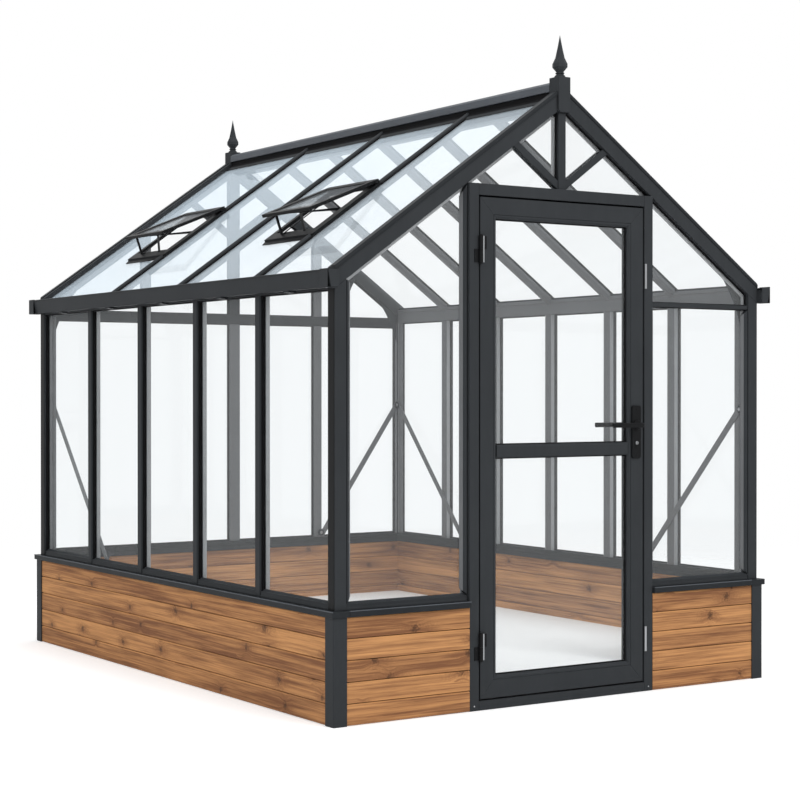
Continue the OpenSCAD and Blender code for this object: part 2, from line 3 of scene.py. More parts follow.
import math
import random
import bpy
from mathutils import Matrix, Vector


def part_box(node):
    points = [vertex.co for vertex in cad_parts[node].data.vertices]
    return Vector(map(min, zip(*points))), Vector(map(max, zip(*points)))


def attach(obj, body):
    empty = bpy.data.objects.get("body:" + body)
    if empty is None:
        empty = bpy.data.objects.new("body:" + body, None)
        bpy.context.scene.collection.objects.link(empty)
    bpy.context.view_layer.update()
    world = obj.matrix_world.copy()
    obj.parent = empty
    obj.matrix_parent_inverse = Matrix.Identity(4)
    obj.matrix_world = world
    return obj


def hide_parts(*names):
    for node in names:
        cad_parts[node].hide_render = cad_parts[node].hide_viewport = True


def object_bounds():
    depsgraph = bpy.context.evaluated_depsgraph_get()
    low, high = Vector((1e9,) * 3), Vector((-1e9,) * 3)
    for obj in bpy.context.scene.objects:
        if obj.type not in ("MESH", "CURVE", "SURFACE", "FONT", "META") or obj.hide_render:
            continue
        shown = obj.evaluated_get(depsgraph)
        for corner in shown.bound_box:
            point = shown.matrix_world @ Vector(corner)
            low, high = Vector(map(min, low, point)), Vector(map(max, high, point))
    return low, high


bl_info = {
    "name": "Greenhouse finish",
    "version": (1, 0, 0),
    "blender": (4, 5, 0),
    "location": "View3D > Sidebar > Greenhouse",
    "description": "Boards, glazing, trims, door furniture and finishes of an aluminium greenhouse",
    "category": "Add Mesh",
}

import bmesh
import bpy
from bpy.props import FloatProperty, FloatVectorProperty, IntProperty, PointerProperty
from mathutils import Vector

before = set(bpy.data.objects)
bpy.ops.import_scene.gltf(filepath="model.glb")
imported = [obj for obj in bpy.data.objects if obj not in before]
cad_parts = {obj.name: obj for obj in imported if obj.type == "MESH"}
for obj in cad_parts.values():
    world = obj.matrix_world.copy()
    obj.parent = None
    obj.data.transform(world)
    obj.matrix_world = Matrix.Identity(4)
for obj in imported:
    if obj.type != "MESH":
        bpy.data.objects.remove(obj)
CAD_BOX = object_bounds()
HEART = (CAD_BOX[0] + CAD_BOX[1]) / 2

BUILDING = "building"
DOOR = "door"
LEVER = "lever"
# Tolerances and the gap in a mitre, in metres
WELD = 1e-5
LEVEL = 5e-4
MITRE_GAP = 2e-4
# Digits of the places that solids are sorted by, and angles of smooth and of rounded edges
PLACE_DIGITS = 4
SMOOTH_ANGLE = math.radians(35)
BEVEL_ANGLE = math.radians(30)
SIDES = (-1.0, 1.0)
X_AXIS = Vector((1.0, 0.0, 0.0))
Y_AXIS = Vector((0.0, 1.0, 0.0))
Z_AXIS = Vector((0.0, 0.0, 1.0))
GRAIN = "grain"
TONE = "tone"


# Properties that a user would change

def length(name, description, default):
    """Property for a size in metres."""
    return FloatProperty(name=name, description=description, default=default, min=0.0, precision=4,
                         unit="LENGTH")


def amount(name, description, default):
    """Property for a plain number."""
    return FloatProperty(name=name, description=description, default=default, min=0.0)


def angle(name, description, degrees):
    """Property for an angle."""
    return FloatProperty(name=name, description=description, default=math.radians(degrees),
                         unit="ROTATION", subtype="ANGLE")


def tint(name, description, default):
    """Property for a linear colour."""
    return FloatVectorProperty(name=name, description=description, default=default, size=3,
                               min=0.0, max=1.0, subtype="COLOR")


class GreenhouseSizes(bpy.types.PropertyGroup):
    """Sizes of the boards, beads and trims."""

    board_rows: IntProperty(name="Board rows", description="Boards above each other in the base",
                            default=5, min=1)
    board_thickness: length("Board thickness", "Thickness of a base board", 0.018)
    board_groove: length("Board groove", "Open gap between two boards", 0.0032)
    board_chamfer: length("Board chamfer", "Bevel along the upper edge of a board", 0.0036)
    bar_edge: length("Bar edge", "Rounding of the edges of the aluminium bars", 0.0018)
    bead_width: length("Bead width", "Face width of the glazing beads of the front gable", 0.014)
    shadow_gap: length("Shadow gap", "Black line between a bead and its bar", 0.003)
    gasket_width: length("Gasket width", "Width of the rubber gasket beside a bead", 0.0045)
    cover_thickness: length("Cover thickness", "Thickness of the cover strips", 0.0045)
    screw_radius: length("Screw radius", "Radius of a screw head", 0.0034)


class GreenhouseColours(bpy.types.PropertyGroup):
    """Colours of the finishes."""

    coat: tint("Powder coat", "Anthracite coat of the aluminium", (0.0318, 0.0346, 0.0377))
    # The cover colour is a darker copy of the powder coat: painted shade on the sill caps and rails, verge
    # covers, ridge flashings, gutter lips and clips.
    cover: tint("Cover strips", "Coat of the sill caps, cover strips and lips", (0.0205, 0.0226, 0.0250))
    # The ridge colour is a paler copy of the powder coat: painted sheen on the ridge cap, and painted
    # highlight on the sill nosings.
    ridge: tint("Ridge cap", "Coat of the ridge cap, dulled by the weather", (0.078, 0.086, 0.098))
    # The brace colour is the braces' grey, and also painted sheen of the glass on the right and rear bars,
    # the inner corner trims and eave covers, and painted highlight in the front bead strips.
    brace: tint("Braces", "Dull grey of the braces and of the far bars", (0.112, 0.116, 0.121))
    # The bead colour is the pale grey of the inner beads: painted reflection of the glass in front of them.
    bead: tint("Inner beads", "Mill finish of the beads inside the glass", (0.280, 0.285, 0.292))
    rubber: tint("Rubber", "Gaskets and seals", (0.0040, 0.0040, 0.0044))
    black: tint("Black hardware", "Handles, hinges and openers", (0.0085, 0.0089, 0.0096))
    steel: tint("Steel", "Screws, keeps and lock cylinders", (0.36, 0.37, 0.385))
    timber_pale: tint("Pale timber", "Early wood of the boards", (0.560, 0.280, 0.114))
    timber_deep: tint("Deep timber", "Late wood of the boards", (0.190, 0.084, 0.041))
    timber_knot: tint("Knots", "Knots in the boards", (0.050, 0.026, 0.017))
    floor: tint("Floor", "Pale floor inside", (0.93, 0.93, 0.925))
    clear: tint("Glass", "Light that one face of a pane lets through", (0.986, 0.993, 0.996))
    film: tint("Film", "Thin film of dust on the glass, seen head on", (0.88, 0.90, 0.91))
    sky: tint("Sky", "Sheen of the glass, seen at a steep angle", (0.66, 0.78, 0.88))
    shaded: tint("Shaded glass", "Sheen of the vents' glass, seen at a steep angle", (0.150, 0.160, 0.170))


class GreenhouseStage(bpy.types.PropertyGroup):
    """Camera, lamps and background."""

    eye: FloatVectorProperty(name="Eye", description="Place of the camera", size=3, unit="LENGTH",
                             subtype="TRANSLATION", default=(-4.4719, -7.0117, 1.2147))
    yaw: angle("Yaw", "Turn of the camera from +Y to +X", 33.34)
    pitch: angle("Pitch", "Fall of the camera's axis", 0.2998)
    focal: amount("Focal length", "Lens of the camera in millimetres", 82.37)
    fill: amount("Fill", "Strength of the light from all around", 0.72)
    key: amount("Key", "Power of the front lamp in watts", 260.0)
    top: amount("Top", "Power of the lamp overhead in watts", 170.0)
    side: amount("Side", "Power of the lamp on the left in watts", 112.0)
    floor_glow: amount("Floor glow", "White that the stage floor adds for the eye", 0.30)
    ground: tint("Ground", "Floor of the stage", (0.90, 0.90, 0.90))


def sizes():
    """Sizes as they are set."""
    return bpy.context.scene.greenhouse_sizes


# Reading the frame

def middle(points):
    """Mean of some points."""
    return sum(points, Vector()) / len(points)


def extent(points):
    """Lowest and highest corner of some points."""
    lo = Vector(min(p[i] for p in points) for i in range(3))
    hi = Vector(max(p[i] for p in points) for i in range(3))
    return lo, hi


def solids(node):
    """Points and widest face's normal of each separate solid in a CAD node, in the same order each run."""
    mesh = bmesh.new()
    mesh.from_mesh(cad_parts[node].data)
    bmesh.ops.remove_doubles(mesh, verts=mesh.verts, dist=WELD)
    mesh.verts.index_update()
    loose = set(mesh.verts)
    found = []
    while loose:
        reach = [loose.pop()]
        members = []
        while reach:
            vert = reach.pop()
            members.append(vert)
            near = {edge.other_vert(vert) for edge in vert.link_edges} & loose
            loose -= near
            reach.extend(near)
        members.sort(key=lambda vert: vert.index)
        faces = [face for vert in members for face in vert.link_faces]
        widest = max(faces, key=lambda face: face.calc_area())
        found.append(([vert.co.copy() for vert in members], widest.normal.copy()))
    mesh.free()
    return sorted(found, key=lambda solid: tuple(round(c, PLACE_DIGITS) for c in middle(solid[0])))


def extents(node):
    """Lowest and highest corner of each separate solid in a CAD node."""
    return [extent(points) for points, _ in solids(node)]


def around(points, normal):
    """Points of a flat outline in order, anticlockwise as seen against the normal."""
    centre = middle(points)
    right = (points[0] - centre).normalized()
    up = normal.cross(right)
    return sorted(points, key=lambda p: math.atan2((p - centre).dot(up), (p - centre).dot(right)))


class Pane:
    """One sheet of glass: outline of its outer face, outward normal and thickness."""

    def __init__(self, points, normal):
        self.normal = normal if normal.dot(middle(points) - HEART) > 0 else -normal
        levels = [p.dot(self.normal) for p in points]
        rim = [p for p, level in zip(points, levels) if max(levels) - level < LEVEL]
        self.outline = around(rim, self.normal)
        self.thickness = max(levels) - min(levels)

    def faces(self):
        """Outline and normal of the outer face and of the inner face."""
        inner = [p - self.normal * self.thickness for p in reversed(self.outline)]
        return (self.outline, self.normal), (inner, -self.normal)


def panes(*nodes):
    """Every pane of some glass nodes."""
    return [Pane(points, normal) for node in nodes for points, normal in solids(node)]


class RoofLine:
    """Slope of the roof, read from a verge rafter's upper edge."""

    def __init__(self):
        points = solids("verge_rafters")[0][0]
        high = max(points, key=lambda p: p.z)
        foot_x = max(abs(p.x) for p in points)
        low = max((p for p in points if foot_x - abs(p.x) < LEVEL), key=lambda p: p.z)
        self.pitch = math.atan2(high.z - low.z, foot_x - abs(high.x))
        self.cos, self.sin = math.cos(self.pitch), math.sin(self.pitch)
        self.apex = high.z + abs(high.x) * math.tan(self.pitch)

    def z(self, depth, x):
        """Height of the plane that lies a depth under the roof line, at a distance from the middle."""
        return self.apex - depth / self.cos - abs(x) * math.tan(self.pitch)

    def depth(self, point):
        """Depth of a point under the roof line."""
        return (self.apex - point.z - abs(point.x) * math.tan(self.pitch)) * self.cos

    def deepest(self, points):
        """Greatest depth of some points under the roof line."""
        return max(self.depth(p) for p in points)

    def left(self, u, v, w):
        """Point of the left slope: down the slope from the ridge, to the front, and outwards."""
        return Vector((-u * self.cos - w * self.sin, -v, self.apex - u * self.sin + w * self.cos))

    def left_place(self, point):
        """Distance down the left slope, to the front, and outwards, of a point."""
        fall = self.apex - point.z
        return Vector((-point.x * self.cos + fall * self.sin, -point.y,
                       -point.x * self.sin - fall * self.cos))


ROOF = RoofLine()


# Shapes

def inset(outline, normal, distances):
    """Corners of a flat outline with each edge moved inwards by its own distance."""
    lines = []
    for start, end, distance in zip(outline, outline[1:] + outline[:1], distances):
        along = (end - start).normalized()
        lines.append((start + normal.cross(along) * distance, along))
    corners = []
    for (p, u), (q, v) in zip(lines[-1:] + lines[:-1], lines):
        corners.append(p + u * ((q - p).cross(v).dot(normal) / u.cross(v).dot(normal)))
    return corners


def shares(steps):
    """Even steps from 0 to 1."""
    return [step / steps for step in range(steps + 1)]


def rounded(width, height, radius, steps=5):
    """Outline of a rectangle with round corners about its middle."""
    points = []
    for quarter, (a, b) in enumerate(((1, 1), (-1, 1), (-1, -1), (1, -1))):
        centre = (a * (width / 2 - radius), b * (height / 2 - radius))
        for share in shares(steps):
            turn = math.pi / 2 * (quarter + share)
            points.append((centre[0] + radius * math.cos(turn), centre[1] + radius * math.sin(turn)))
    return points


def mirrored(half):
    """Whole section from its right half, which runs from the foot to the middle."""
    return [(-a, b) for a, b in half] + half[::-1]


class Shape:
    """Mesh of one piece, put together from closed solids."""

    def __init__(self):
        self.mesh = bmesh.new()

    def loft(self, rings):
        """Closed solid through rings with the same number of points."""
        loops = [[self.mesh.verts.new(p) for p in ring] for ring in rings]
        self.mesh.faces.new(loops[0])
        self.mesh.faces.new(loops[-1][::-1])
        for a, b in zip(loops, loops[1:]):
            for i in range(len(a)):
                self.mesh.faces.new((a[i - 1], b[i - 1], b[i], a[i]))
        return [vert for loop in loops for vert in loop]

    def block(self, corner, opposite):
        """Box between two opposite corners."""
        lo, hi = extent((corner, opposite))
        corners = ((lo[0], lo[1]), (hi[0], lo[1]), (hi[0], hi[1]), (lo[0], hi[1]))
        foot = [Vector((x, y, lo[2])) for x, y in corners]
        return self.loft([foot, [p + Z_AXIS * (hi[2] - lo[2]) for p in foot]])

    def along_y(self, outline, y0, y1):
        """Outline in X and Z carried along Y."""
        return self.loft([[Vector((x, y, z)) for x, z in outline] for y in (y0, y1)])

    def both_sides(self, outline, y0, y1):
        """Outline of the right side in X and Z carried along Y, and the same mirrored on the left."""
        for side in SIDES:
            self.along_y([(side * x, z) for x, z in outline], y0, y1)

    def down_slope(self, outline, x0, x1, y=0.0):
        """Outline of distances along Y and depths under the roof line, carried down a slope."""
        self.loft([[Vector((x, y + v, ROOF.z(depth, x))) for v, depth in outline] for x in (x0, x1)])

    def members(self, outline, normal, profile, widths=None, made=None):
        """One bar for each edge of an outline that is to be made, mitred at its corners.

        The profile lists insets and heights, and widths stretch the insets edge by edge.
        """
        widths = widths or [1.0] * len(outline)
        made = made or [True] * len(outline)
        rings = []
        for across, height in profile:
            corners = inset(outline, normal, [across * width for width in widths])
            rings.append([corner + normal * height for corner in corners])
        for i in (index for index, wanted in enumerate(made) if wanted):
            first = [ring[i] for ring in rings]
            last = [ring[(i + 1) % len(outline)] for ring in rings]
            gap = (last[0] - first[0]).normalized() * MITRE_GAP
            self.loft([[p + gap for p in first], [p - gap for p in last]])

    def turned(self, foot, axis, profile, sides=24):
        """Turned solid on an axis from a foot point. The profile lists radii and distances."""
        side = axis.orthogonal().normalized()
        other = axis.cross(side)
        turns = [2 * math.pi * i / sides for i in range(sides)]
        self.loft([[foot + axis * along + (side * math.cos(turn) + other * math.sin(turn)) * radius
                    for turn in turns] for radius, along in profile])

    def sweep(self, path, section, up):
        """Section of side and up distances carried along a path."""
        rings = []
        for i, place in enumerate(path):
            ahead = (path[min(i + 1, len(path) - 1)] - path[max(i - 1, 0)]).normalized()
            side = up.cross(ahead).normalized()
            rings.append([place + side * a + up * b for a, b in section])
        self.loft(rings)

    def piece(self, name, material, edge=0.0, body=BUILDING, stands_for=None):
        """Object made from the shape, riding on a body, with its edges rounded by a radius."""
        bmesh.ops.recalc_face_normals(self.mesh, faces=self.mesh.faces)
        for face in self.mesh.faces:
            face.smooth = True
        for seam in self.mesh.edges:
            seam.smooth = edge > 0 or seam.calc_face_angle(math.pi) < SMOOTH_ANGLE
        data = bpy.data.meshes.new(name)
        self.mesh.to_mesh(data)
        self.mesh.free()
        made = new_object(name, data)
        data.materials.append(finish(material))
        if edge > 0:
            round_edges(made, edge)
        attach(made, body)
        if stands_for:
            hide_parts(stands_for)


def new_object(name, data):
    """Object in the scene, with its mesh, lamp or camera."""
    made = bpy.data.objects.new(name, data)
    bpy.context.scene.collection.objects.link(made)
    return made


def round_edges(made, width):
    """Rounded edges on an object, by a modifier."""
    bevel = made.modifiers.new("edges", "BEVEL")
    bevel.width = width
    bevel.segments = 2
    bevel.limit_method = "ANGLE"
    bevel.angle_limit = BEVEL_ANGLE
    bevel.harden_normals = True


# Shader sums

def socket_of(sockets, key):
    """Socket with a number, an identifier or a name."""
    if isinstance(key, int):
        return sockets[key]
    for socket in sockets:
        if key in (socket.identifier, socket.name):
            return socket
    raise KeyError(key)


def both_ways(operation):
    """Methods for a sum of a value and a term, and for the same sum with the term in front."""
    return (lambda value, term: value.sum(operation, value, term),
            lambda value, term: value.sum(operation, term, value))


class Value:
    """A shader socket that takes part in Python sums."""

    __add__, __radd__ = both_ways("ADD")
    __sub__, __rsub__ = both_ways("SUBTRACT")
    __mul__, __rmul__ = both_ways("MULTIPLY")
    __truediv__, __rtruediv__ = both_ways("DIVIDE")
    __gt__, __lt__ = both_ways("GREATER_THAN")

    def __init__(self, surface, socket):
        self.surface = surface
        self.socket = socket

    def other(self, name):
        """Another output of the same node."""
        return Value(self.surface, socket_of(self.socket.node.outputs, name))

    def sum(self, operation, *terms):
        """Math node on some terms."""
        return self.surface.node("ShaderNodeMath", {"operation": operation}, dict(enumerate(terms)))


class Surface:
    """Node tree of a finish or of the world."""

    def __init__(self, tree):
        self.tree = tree
        tree.nodes.clear()

    def node(self, kind, settings=None, sockets=None, output=0):
        """New node with its settings, then the values or links of its sockets."""
        made = self.tree.nodes.new(kind)
        for key, value in (settings or {}).items():
            setattr(made, key, value)
        for key, value in (sockets or {}).items():
            place = socket_of(made.inputs, key)
            if isinstance(value, Value):
                self.tree.links.new(value.socket, place)
            else:
                place.default_value = value
        return Value(self, socket_of(made.outputs, output)) if made.outputs else None

    def place(self):
        """Position in metres, as built."""
        return self.node("ShaderNodeTexCoord", output="Object")

    def vector(self, operation, *terms, output=0):
        """Vector Math node on some terms."""
        return self.node("ShaderNodeVectorMath", {"operation": operation}, dict(enumerate(terms)), output)

    def size(self, vector):
        """Length of a vector."""
        return self.vector("LENGTH", vector, output="Value")

    def scaled(self, vector, factor):
        """Vector times a number that varies."""
        return self.node("ShaderNodeVectorMath", {"operation": "SCALE"}, {0: vector, "Scale": factor})

    def mix(self, factor, first, second):
        """Mix of two colours."""
        sockets = {"Factor_Float": factor, "A_Color": colour(first), "B_Color": colour(second)}
        return self.node("ShaderNodeMix", {"data_type": "RGBA"}, sockets, "Result_Color")

    def noise(self, vector, scale, detail=2.0, roughness=0.5, stretch=None):
        """Noise from 0 to 1."""
        if stretch:
            vector = self.vector("MULTIPLY", vector, stretch)
        sockets = {"Vector": vector, "Scale": scale, "Detail": detail, "Roughness": roughness}
        return self.node("ShaderNodeTexNoise", {}, sockets, "Fac")

    def fade(self, value, start, end):
        """Smooth fall from 1 at the start to 0 at the end."""
        sockets = {"Value": value, "From Min": start, "From Max": end, "To Min": 1.0, "To Max": 0.0}
        return self.node("ShaderNodeMapRange", {"interpolation_type": "SMOOTHSTEP"}, sockets)

    def seen(self):
        """1 for rays from the eye, and for those mirrored in metal or let through glass."""
        camera = self.node("ShaderNodeLightPath", output="Is Camera Ray")
        mirrored_too = camera.sum("MAXIMUM", camera, camera.other("Is Glossy Ray"))
        return camera.sum("MAXIMUM", mirrored_too, camera.other("Is Transmission Ray"))

    def bump(self, height, distance, strength):
        """Normal of a surface with some relief."""
        return self.node("ShaderNodeBump", {}, {"Height": height, "Distance": distance, "Strength": strength})

    def output(self, shader):
        """Shader on the material's output."""
        self.node("ShaderNodeOutputMaterial", {}, {"Surface": shader})

    def principled(self, sockets):
        """Principled shader on the material's output."""
        self.output(self.node("ShaderNodeBsdfPrincipled", {}, sockets))


def colour(value):
    """Colour with its fourth number, or a link as it is."""
    return value if isinstance(value, Value) else (*value, 1.0)


def times(shade, factor):
    """Colour made paler or deeper."""
    return tuple(factor * c for c in shade)


# Finishes

def new_surface(name):
    """Material with an empty node tree, and its surface."""
    material = bpy.data.materials.new(name)
    material.use_nodes = True
    return material, Surface(material.node_tree)


def coated(s, shades, key, roughness, gloss):
    """Powder coat: fine orange peel, faint clouding and a light veil of dust."""
    shade = getattr(shades, key)
    place = s.place()
    clouds = s.noise(place, 3.5, 3.0, 0.6)
    veil = s.noise(place, 38.0, 4.0, 0.65, stretch=(1.0, 1.0, 0.22))
    peel = s.noise(place, 420.0, 1.0)
    s.principled({
        "Base Color": s.mix(clouds * 0.55 + veil * 0.45, times(shade, 0.80), times(shade, 1.32)),
        "Roughness": roughness + (veil - 0.5) * 0.16,
        "Specular IOR Level": gloss,
        "Normal": s.bump(peel, 0.00012, 0.20),
    })


def gasket_rubber(s, shades):
    """Dull black rubber with a dry bloom."""
    place = s.place()
    bloom = s.noise(place, 55.0, 3.0, 0.6)
    s.principled({
        "Base Color": s.mix(bloom, shades.rubber, times(shades.rubber, 2.2)),
        "Roughness": 0.62 + bloom * 0.2,
        "Specular IOR Level": 0.05,
        "Normal": s.bump(s.noise(place, 900.0), 0.0002, 0.3),
    })


def brushed_steel(s, shades):
    """Steel brushed along its length."""
    brush = s.noise(s.place(), 1.0, stretch=(1800.0, 1800.0, 60.0))
    s.principled({
        "Base Color": s.mix(brush, times(shades.steel, 0.78), shades.steel),
        "Metallic": 1.0,
        "Roughness": 0.24 + brush * 0.16,
        "Normal": s.bump(brush, 0.0001, 0.3),
    })


KNOT_CELLS = (2.3, 12.66, 1.0)
KNOT_SHARE = 0.58
SMUDGE_STRETCH = (0.42, 1.0, 1.0)


def timber(s, shades):
    """Stained softwood boards: smoky streaks, growth rings, fibres and ragged dark knots."""
    grain = s.node("ShaderNodeAttribute", {"attribute_name": GRAIN}, output="Vector")
    tone = s.node("ShaderNodeAttribute", {"attribute_name": TONE}, output="Fac")
    cells = s.vector("MULTIPLY", grain, (KNOT_CELLS[0], KNOT_CELLS[1], 0.0))
    knots = s.node("ShaderNodeTexVoronoi", {"voronoi_dimensions": "2D"},
                   {"Vector": cells, "Scale": 1.0, "Randomness": 0.9}, "Position")
    draws = s.node("ShaderNodeSeparateColor", {}, {"Color": knots.other("Color")}, "Red")
    chosen = draws > 1 - KNOT_SHARE
    girth = draws.other("Green") * 1.05 + 0.60
    away = s.vector("DIVIDE", s.vector("SUBTRACT", cells, knots), KNOT_CELLS)
    reach = s.size(away) / girth
    stretched = s.size(s.vector("MULTIPLY", away, SMUDGE_STRETCH)) / girth
    ragged = (s.noise(grain, 120.0, 4.0, 0.6) - 0.5) * 0.042
    core = s.fade(reach + ragged, 0.001, 0.0175) * chosen
    smudge = s.fade(stretched + ragged, 0.002, 0.036) * chosen
    bend = s.fade(reach, 0.004, 0.045) * chosen
    bent = s.vector("ADD", grain, s.scaled(away, bend * 0.7))
    smoke = s.noise(bent, 1.0, 4.0, 0.55, stretch=(1.3, 11.0, 11.0))
    streaks = s.noise(bent, 1.0, 5.0, 0.6, stretch=(2.6, 80.0, 80.0))
    lines = s.noise(bent, 1.0, 3.0, stretch=(1.8, 260.0, 260.0))
    rings = s.node("ShaderNodeTexWave", {"wave_type": "BANDS", "bands_direction": "Y"},
                   {"Vector": s.vector("MULTIPLY", bent, (1.1, 17.0, 17.0)), "Scale": 2.0,
                    "Distortion": 5.5, "Detail": 3.0, "Detail Scale": 1.4, "Detail Roughness": 0.6}, "Fac")
    fibres = s.noise(bent, 1.0, stretch=(26.0, 820.0, 820.0))
    late = (0.92 - tone * 0.84 + (s.fade(smoke, 0.70, 0.32) - 0.5) * 0.38
            + (s.fade(streaks, 0.70, 0.32) - 0.5) * 0.66 + (s.fade(lines, 0.64, 0.38) - 0.5) * 0.20
            + (rings - 0.5) * 0.10 + (fibres - 0.5) * 0.22)
    wood = s.mix(s.node("ShaderNodeClamp", {}, {"Value": late}), shades.timber_pale, shades.timber_deep)
    stained = s.mix(smudge * 0.66, wood, shades.timber_deep)
    relief = fibres * 0.5 + rings * 0.3 + streaks * 0.3 - core * 0.5
    s.principled({
        "Base Color": s.mix(core * 0.74, stained, shades.timber_knot),
        "Roughness": 0.66 + (fibres - 0.5) * 0.2 - core * 0.12,
        "Specular IOR Level": 0.08,
        "Normal": s.bump(relief, 0.0006, 0.5),
    })


def pale_floor(s, shades):
    """Smooth pale floor with faint trowel marks and dust."""
    place = s.place()
    clouds = s.noise(place, 2.2, 4.0, 0.6)
    trowel = s.noise(place, 1.0, 3.0, stretch=(3.0, 26.0, 3.0))
    grit = s.noise(place, 420.0)
    marks = clouds * 0.5 + trowel * 0.3 + grit * 0.2
    s.principled({
        "Base Color": s.mix(marks, times(shades.floor, 0.88), times(shades.floor, 1.06)),
        "Roughness": 0.7 + trowel * 0.2,
        "Specular IOR Level": 0.25,
        "Normal": s.bump(grit * 0.4 + trowel * 0.6, 0.0008, 0.4),
    })


HEAD_ON_MIRROR = 0.018
STEEP_MIRROR = 0.10
HEAD_ON_FILM = 0.018
EDGE_FILM = 0.028
# Veil on the glass at steep angles, in the sky colour or the vents' shaded colour: painted reflection
STEEP_SHEEN = 0.24
SHADED_SHEEN = 0.34
STEEP_START = 0.62
STEEP_END = 0.86


def glass(s, shades, key, steep_sheen):
    """Clear glass: light passes straight through, but for a thin film of dust, what is mirrored, and a veil
    at steep angles that is painted reflection.
    """
    place = s.place()
    facing = s.node("ShaderNodeLayerWeight", {}, {"Blend": 0.5}, "Facing")
    waves = s.noise(place, 1.6, 1.0)
    dust = s.noise(place, 9.0, 4.0, 0.6)
    steep = s.fade(facing, STEEP_END, STEEP_START)
    mirror = steep * STEEP_MIRROR + HEAD_ON_MIRROR
    # The film is thin dust head on, and at steep angles a veil that is painted reflection
    film = (facing * EDGE_FILM + HEAD_ON_FILM) * (0.8 + dust * 0.4) + steep * steep_sheen
    held = mirror + film
    through = s.node("ShaderNodeBsdfTransparent", {}, {"Color": colour(shades.clear)})
    sheen = s.node("ShaderNodeBsdfPrincipled", {}, {
        "Base Color": s.mix(steep * (1.1 - dust * 0.2), shades.film, getattr(shades, key)),
        "Metallic": mirror / held,
        "Roughness": 0.015 + dust * 0.02,
        "Specular IOR Level": 0.0,
        "Normal": s.bump(waves, 0.004, 0.15),
    })
    s.output(s.node("ShaderNodeMixShader", {}, {0: held, 1: through, 2: sheen}))


# Slot, maker and settings of each finish: colour, roughness and gloss, or colour and steep sheen
FINISHES = {
    "powder_coat": ("frame", coated, "coat", 0.42, 0.03),
    # Darker copy of the powder coat: painted shade
    "cover_coat": ("frame", coated, "cover", 0.36, 0.04),
    # Paler copy of the powder coat: painted sheen and highlight
    "ridge_coat": ("frame", coated, "ridge", 0.42, 0.10),
    # Braces' grey, and painted sheen of the glass on far bars and inner pieces
    "brace_finish": ("frame", coated, "brace", 0.44, 0.2),
    # Pale grey of the inner beads: painted reflection
    "bead_finish": ("frame", coated, "bead", 0.44, 0.2),
    "black_hardware": ("hardware", coated, "black", 0.40, 0.06),
    "gasket_rubber": ("hardware", gasket_rubber),
    "brushed_steel": ("steel", brushed_steel),
    "timber_boards": ("timber", timber),
    "pale_floor": ("floor", pale_floor),
    "clear_glass": ("glass", glass, "sky", STEEP_SHEEN),
    "vent_glass": ("glass", glass, "shaded", SHADED_SHEEN),
}
KEPT_NODES = {
    "powder_coat": ("base_corners", "corner_posts", "left_mullions", "king_posts", "gable_struts",
                    "gable_ties", "eave_beams", "gutters", "gutter_ends", "verge_rafters", "ridge_beam",
                    "apex_blocks", "finials", "door_frame"),
    # Sill caps and rails in the darker copy of the coat: painted shade
    "cover_coat": ("sill_caps", "sill_rails"),
    # Ridge cap in the paler copy of the coat: painted sheen
    "ridge_coat": ("ridge_cap",),
    # Right and rear mullions paler than the left ones: painted sheen of the glass
    "brace_finish": ("wall_braces", "right_mullions", "rear_mullions"),
    "black_hardware": ("vent_curbs", "vent_sashes", "vent_hardware", "frame_hinges", "door_hinges"),
    "brushed_steel": ("door_keeps",),
    "pale_floor": ("floor_slab",),
    "clear_glass": ("left_wall_glass", "right_wall_glass", "rear_wall_glass", "front_wall_glass",
                    "left_roof_glass", "right_roof_glass", "door_glass"),
    "vent_glass": ("vent_glass",),
}
SHARP_NODES = ("door_keeps", "finials")


def finish(name):
    """Material of one finish, made the first time it is asked for."""
    made = bpy.data.materials.get(name)
    if made is None:
        _, make, *settings = FINISHES[name]
        made, surface = new_surface(name)
        make(surface, bpy.context.scene.greenhouse_colours, *settings)
    return made


class GREENHOUSE_OT_frame_finish(bpy.types.Operator):
    """Give the bars, glass and floor of the frame their finishes and rounded edges"""

    bl_idname = "greenhouse.frame_finish"
    bl_label = "Frame finish"

    def execute(self, context):
        for name, nodes in KEPT_NODES.items():
            for node in nodes:
                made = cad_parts[node]
                made.data.materials.clear()
                made.data.materials.append(finish(name))
                if FINISHES[name][0] != "glass" and node not in SHARP_NODES:
                    weld = made.modifiers.new("weld", "WELD")
                    weld.merge_threshold = WELD
                    round_edges(made, sizes().bar_edge)
                    made.modifiers.new("normals", "WEIGHTED_NORMAL")
        return {"FINISHED"}


# Base boards

SEED = 7
GRAIN_RANGE = 40.0
RING_RANGE = 9.0
ROW_TONES = (0.30, 0.64)
TONE_RANGE = 0.10
# Paler tone on the upper chamfer of each board: painted highlight
CHAMFER_HIGHLIGHT_TONE = 0.45


